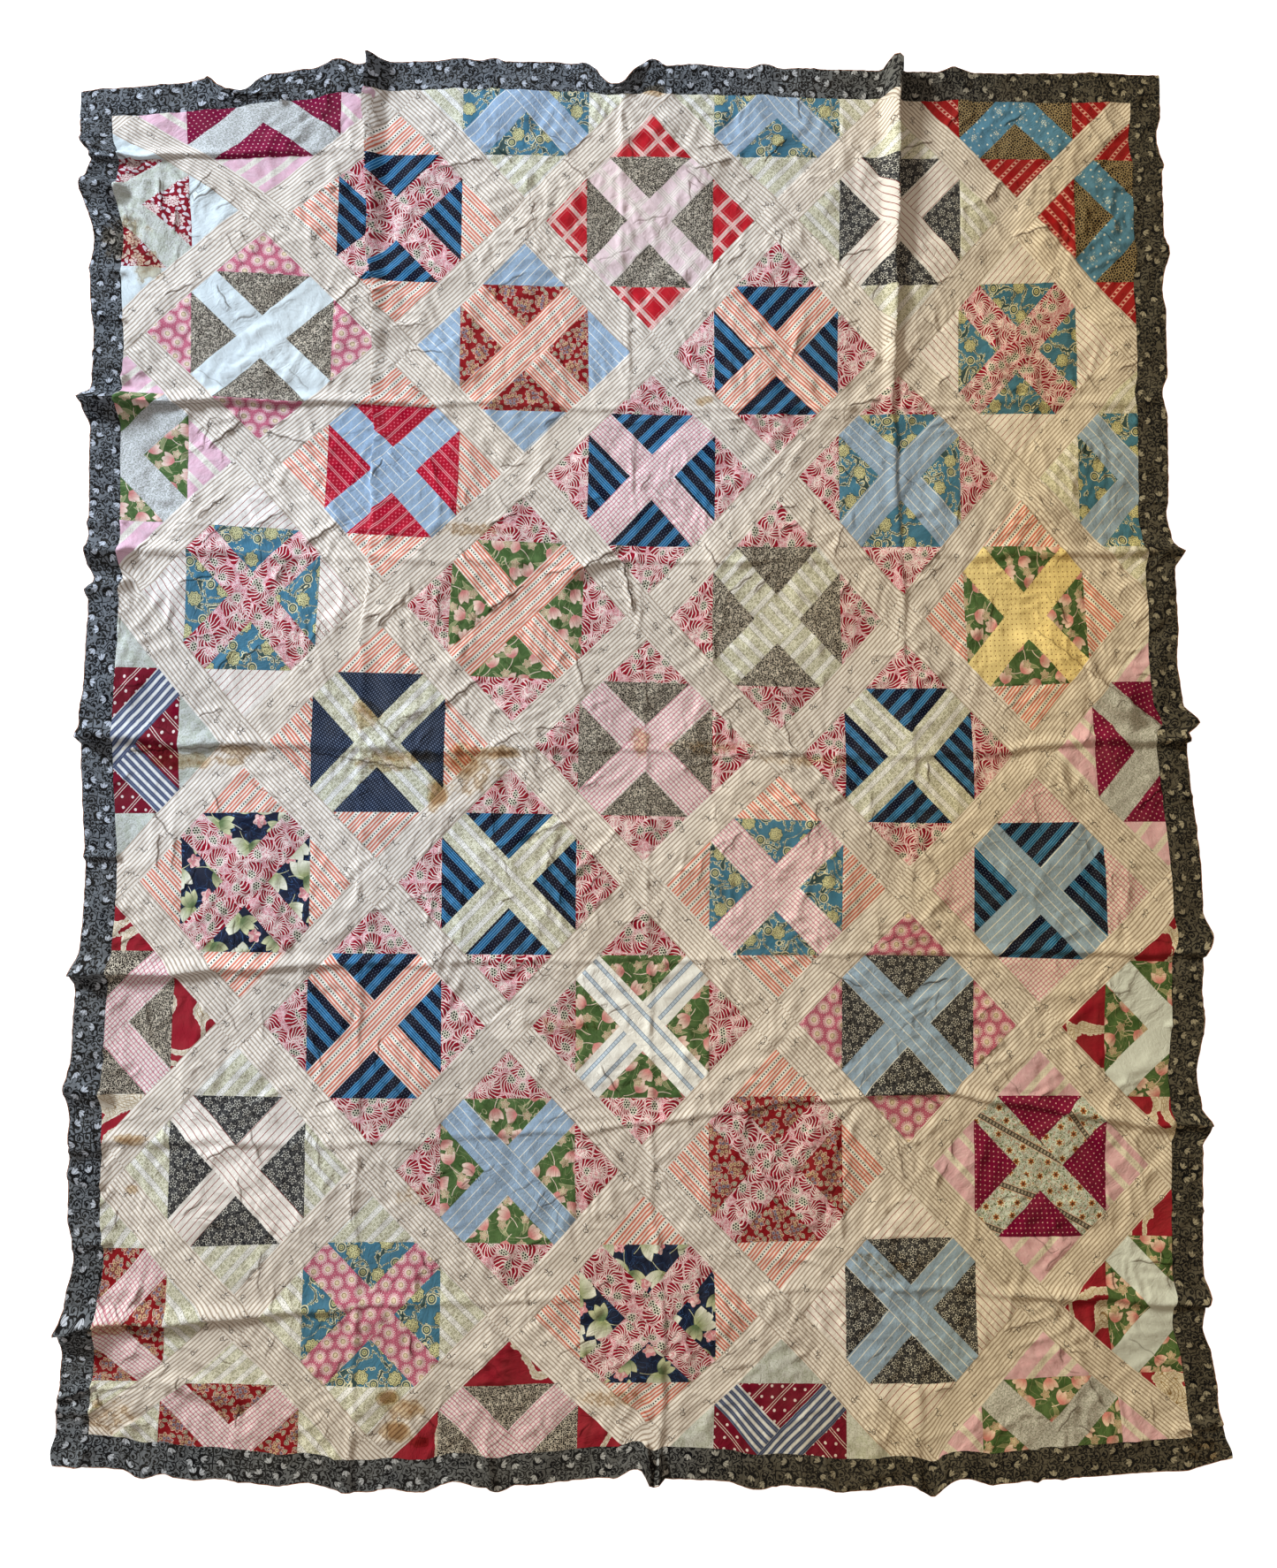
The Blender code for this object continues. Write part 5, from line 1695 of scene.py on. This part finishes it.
@printed_on(72, 102, 58)
def green_tulip(d):
    d.paint(d.inside(d.noise(13.0, detail=2.0, warp=0.5) - 0.5, 0.2) * 0.6, dye(94, 124, 76))
    leaf = d.cells(38.0, 32.0, wander=8.0, turn=6.0, shift=0.5)
    run, aside = d.axis(leaf, 1.0)
    blade = d.petal(run, aside + run * run * 0.02, 0.0, 30.0, 6.5)
    d.paint(d.inside(blade) * 0.85, dye(150, 158, 118))
    d.paint(d.line(blade, 0.7) * 0.8, dye(196, 196, 158))
    vine = (d.noise(24.0, warp=0.8) - 0.5) * 90.0
    d.paint(d.line(vine, 1.0) * 0.9, dye(200, 196, 160))
    flower = d.cells(36.0, 31.0, wander=8.0, turn=6.0)
    lily(d, flower, 0.0, 22.0, dye(244, 224, 214), dye(214, 140, 140))
    pale = d.cells(36.0, 31.0, wander=8.0, turn=5.0, shift=0.5)
    shape = d.bloom(pale, 5, 7.6, 0.35)
    d.paint(d.inside(shape), dye(206, 194, 166))
    d.paint(d.line(d.bloom(pale, 5, 5.5, 0.5), 0.8) * d.inside(shape), dye(168, 110, 100))


# %% Fans, lace and branches
@printed_on(152, 12, 40)
def red_fan(d):
    """Feathery fans of thin curved rays, each spread from a small spotted or lacy head."""
    rose, white = dye(200, 84, 110), dye(250, 232, 234)
    plot = d.crowd(23.0, jitter=0.9, warp=7.0)
    run, aside = d.axis(plot, plot.chance * 60.0)
    out = run + 9.0
    reach = d.distance(out, aside)
    turn = aside.math("ARCTAN2", out) + reach * 0.045
    d.paint(d.line(d.repeat(turn, 0.34) * reach, 1.5), white)
    d.paint(d.inside(1.2 - plot.edge), white)
    d.paint(d.line(plot.edge, 0.6), rose)
    lace = d.crowd(4.2, jitter=0.8)
    far = d.inside(plot.reach - 15.0)
    d.paint(far * 0.9, dye(240, 206, 214))
    d.paint(d.line(lace.reach - 1.3, 0.7) * far, rose)
    head = 6.4 - d.distance(run + 6.5, aside)
    d.paint(d.inside(head), dye(246, 228, 228))
    d.paint(d.line(lace.reach - 1.2, 0.8) * d.inside(head - 0.8), rose)
    seeds = d.inside(0.55 - plot.chance, 0.01) * d.inside(head - 0.7)
    d.paint(seeds, dye(234, 232, 216))
    blot = d.cells(4.0, 3.6)
    d.paint(d.inside(1.5 - blot.reach) * seeds, dye(34, 38, 34))


@printed_on(156, 30, 48)
def red_branch(d):
    lace = (d.noise(70.0, detail=1.0, rough=0.35, warp=0.6) - 0.5) * 330.0
    scallop = d.crowd(6.0, jitter=0.5)
    edge = d.inside(3.4 - (lace.size() - 21.0).size())
    d.paint(d.inside(2.6 - scallop.reach) * edge, dye(240, 232, 218))
    d.paint(d.inside(20.5 - lace.size()), dye(236, 230, 218))
    d.paint(d.line(d.repeat(lace, 5.0), 1.1) * d.inside(16.0 - lace.size()), dye(156, 132, 96))
    d.paint(d.line(scallop.edge, 0.9) * d.inside(16.0 - lace.size()) * 0.7, dye(176, 148, 108))


@printed_on(210, 214, 220)
def lace_grey(d):
    loop = d.cells(13.0, 9.0)
    shape = d.bloom(loop, 3, 4.6, 0.5)
    d.paint(d.line(shape, 0.8) * 0.75, dye(112, 120, 112))
    d.paint(d.line(d.repeat(d.along, 9.0, 4.5), 0.8) * 0.5, dye(140, 146, 136))
    d.paint(d.inside(d.noise(2.6, detail=1.0) - 0.6, 0.1) * 0.5, dye(132, 138, 126))


@printed_on(209, 214, 213)
def sage_leaf(d):
    d.paint(d.inside(d.noise(14.0, detail=3.0) - 0.52, 0.1) * 0.45, dye(180, 188, 172))
    leaf = d.cells(24.0, 20.0, wander=6.0, turn=6.0)
    run, aside = d.axis(leaf, 0.0)
    d.paint(d.line(d.petal(run, aside, 0.0, 16.0, 7.0), 0.8) * 0.5, dye(150, 158, 138))
    d.paint(d.inside(d.noise(2.4, detail=2.0) - 0.6, 0.1) * 0.5, dye(140, 142, 120))


# %% Sashing and border
@printed_on(245, 240, 236)
def sash_stripe(d):
    """Cream shirting with fine brown-grey stripes and small dark scribbles strewn over it."""
    ink = dye(50, 42, 40)
    d.paint(d.bands(5.6, 2.1, soft=0.9) * 0.72, dye(146, 118, 92))
    twig = d.cells(43.0, 41.0, wander=20.0, turn=6.0, shift=0.25)
    u, v = (place * 1.15 for place in d.axis(twig, 0.0))
    other = (twig.chance * 13.0).part()
    stroke = (v * 0.42 + other * 3.0).wave() * 2.4 + (v * 0.9).wave() * 0.9
    d.paint(d.line(u - stroke, 1.1) * d.inside(other * 4.0 + 6.0 - v.size()), ink)
    loop = d.distance(u - 2.6, v - 4.6)
    d.paint(d.line(loop - 2.7, 1.0) * d.inside(u - 0.2) * d.inside(0.55 - other, 0.01), ink)
    hook = (u * 0.5).wave() * 1.8
    barb = d.inside(5.0 - u.size()) * d.inside(other - 0.3, 0.01)
    d.paint(d.line(v + 3.4 - hook, 1.0) * barb, ink)
    d.paint(d.inside(1.0 - d.distance(u + 1.0, v + 11.4)) * d.inside(other - 0.6, 0.01), ink)


@printed_on(113, 119, 128)
def border_print(d):
    """Slate cloth, browner towards one side, partly with age and partly as painted warm shade, with
    black curls and pale flower heads.
    """
    yellowing_and_shade = d.pair("marks")[1]
    # Browner towards the right and the foot: partly age, partly painted warm shade.
    browned_and_shaded = d.math("MULTIPLY_ADD", yellowing_and_shade, 2.4, -0.92, clamp=True)
    d.paint(browned_and_shaded, dye(92, 89, 82))
    ink = dye(15, 16, 20)
    curl = d.crowd(12.5, jitter=0.8)
    d.paint(d.line(curl.reach - 3.4 - curl.angle * 0.7, 1.6, 0.5), ink)
    d.paint(d.inside(1.6 - curl.reach, 0.5), ink)
    d.paint(d.inside(0.8 - curl.edge, 0.5) * d.inside(curl.chance - 0.4, 0.01), ink)
    d.paint(d.inside(d.noise(4.5, detail=1.0) - 0.62, 0.08), ink)
    # The pale heads follow the same tone: partly age, partly painted warm shade.
    pale = d.mixed(browned_and_shaded, dye(206, 214, 230), dye(176, 172, 160))
    head = d.crowd(27.0, jitter=0.8)
    d.paint(d.inside(5.6 - head.reach), ink)
    for way in (-0.8, 0.8, 0.0):
        run, aside = d.axis(head, head.chance * 30.0 + way)
        shape = d.petal(run, aside + run * run * 0.05, -3.0, 8.6, 4.4)
        d.paint(d.inside(shape + 0.5), ink)
        d.paint(d.inside(shape) * 0.85, pale)
    hem = d.pair("seam")[0]
    d.paint(d.inside(hem - 46.0, 0.5) * 0.85, dye(178, 124, 94))


print(len(drafted), "prints drafted")

# %% [markdown]
# ## The blocks
# Each block is one piece, and is half a block where the border cuts it off. The sashing between
# them is dealt into twelve pieces, by rows and columns.

# %% Sew the blocks and the sashing
SASH_COLUMNS = 3
SASH_ROWS = 4
grain = np.stack([grain_u, grain_v], axis=-1)
strip_right = (centre_e - centre_w) * PITCH / 2 / DIAGONAL / reach_side
strip_up = (centre_e + centre_w) * PITCH / 2 / DIAGONAL / reach_head
sash_column = np.clip((strip_right + 1) / 2 * SASH_COLUMNS, 0, SASH_COLUMNS - 1).astype(int)
sash_row = np.clip((1 - strip_up) / 2 * SASH_ROWS, 0, SASH_ROWS - 1).astype(int)


def flat_area(chosen):
    """The area of chosen triangles on the flat quilt, in square metres."""
    edge_e = tri_e[chosen][:, 1:] - tri_e[chosen][:, :1]
    edge_w = tri_w[chosen][:, 1:] - tri_w[chosen][:, :1]
    twice = edge_e[:, 0] * edge_w[:, 1] - edge_e[:, 1] * edge_w[:, 0]
    return float(np.abs(twice).sum() / 2)


def field_piece(name, chosen):
    """A piece of the field from chosen triangles."""
    names, slots = np.unique(fabric[chosen], return_inverse=True)
    mats = [drafted[CLOTHS[number]] for number in names]
    corners = triangles[chosen]
    piece = sew(
        name, corners, points, mats, slots, grain[chosen], wear_and_shade_points[corners],
        patch[chosen, 3:4], seam[chosen],
    )
    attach(piece, "root")
    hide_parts("patchwork_field")
    area = flat_area(chosen)
    return piece


for number, block in enumerate(BLOCKS):
    field_piece(f"block_{number + 1:02d}", ~is_sash & (block_number == number))
for row in range(SASH_ROWS):
    for column in range(SASH_COLUMNS):
        chosen = is_sash & (sash_row == row) & (sash_column == column)
        field_piece(f"sashing_{row + 1}_{column + 1}", chosen)

# %% [markdown]
# ## The border
# Four strips of a dark print, raw at the hem, and each cut into a few lengths. The strips at
# head and foot run the full width. Their inner points are the field's own edge points, so no
# crack opens along the seam.

# %% Border strips
BORDER_CELLS = 9
HEM_FRAY = 0.0006
FRAY_SIZE = 0.004
edge_places = {
    "side": np.unique(np.round(flat_t[np.abs(np.abs(flat_s) - SIDE) < CLOSE], 9)),
    "end": np.unique(np.round(flat_s[np.abs(np.abs(flat_t) - HEAD) < CLOSE], 9)),
}
corner_step = BORDER_WIDTH / BORDER_CELLS
corner = SIDE + corner_step * np.arange(1, BORDER_CELLS + 1)
end_stations = np.concatenate([-corner[::-1], edge_places["end"], corner])
Strip = namedtuple("Strip", "name stations ends sign parts")
STRIPS = [
    Strip("border_top", end_stations, True, +1, 3),
    Strip("border_bottom", end_stations, True, -1, 3),
    Strip("border_left", edge_places["side"], False, -1, 4),
    Strip("border_right", edge_places["side"], False, +1, 4),
]


def border_net(strip):
    """Flat places s, t of a strip's points, station by station from its seam to its hem."""
    depth = np.linspace(0.0, BORDER_WIDTH, BORDER_CELLS + 1)
    place, out = np.meshgrid(strip.stations, depth, indexing="ij")
    if strip.ends:
        return place, strip.sign * (HEAD + out), place, out
    return strip.sign * (SIDE + out), place, place, out


for strip in STRIPS:
    s, t, place, out = (a.ravel() for a in border_net(strip))
    x, y = floor_place(s, t)
    hem = out > BORDER_WIDTH - CLOSE
    ragged = HEM_FRAY * (2.0 * soft_noise(place, out, FRAY_SIZE, 41) - 1.0) * hem
    outward = strip.sign * ragged
    x, y = (x, y + outward) if strip.ends else (x + outward, y)
    z = cloth_height(s, t, x, y, out)
    places = np.stack([x, y, z], axis=1)
    row_size = BORDER_CELLS + 1
    a, b = np.meshgrid(np.arange(len(strip.stations) - 1), np.arange(BORDER_CELLS), indexing="ij")
    a, b = a.ravel(), b.ravel()
    this_row, next_row = a * row_size + b, (a + 1) * row_size + b
    quad = [this_row, next_row, next_row + 1, this_row + 1]
    flip = (strip.sign > 0) != strip.ends
    order = (0, 3, 2, 1) if flip else (0, 1, 2, 3)
    quad = np.stack([quad[k] for k in order], axis=1)
    halves = np.concatenate([quad[:, [0, 1, 2]], quad[:, [0, 2, 3]]])
    which = (np.concatenate([a, a]) * strip.parts) // (len(strip.stations) - 1)
    worn_and_shaded = wear_and_shade_at(x, y, s, t)
    for number in range(strip.parts):
        corners = halves[which == number]
        lay = np.stack([1000 * out[corners], 1000 * place[corners]], axis=-1)
        piece = sew(
            f"{strip.name}_{number + 1}", corners, places, [drafted["border_print"]],
            np.zeros(len(corners)), lay, worn_and_shaded[corners], 0.5, out[corners],
        )
        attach(piece, "root")
        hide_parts(strip.name)
        length = float(np.ptp(place[corners]))
        print(piece.name, len(piece.data.polygons), "faces")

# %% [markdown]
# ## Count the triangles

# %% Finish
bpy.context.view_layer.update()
print("triangles", sum(len(p.vertices) - 2 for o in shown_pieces() for p in o.data.polygons))
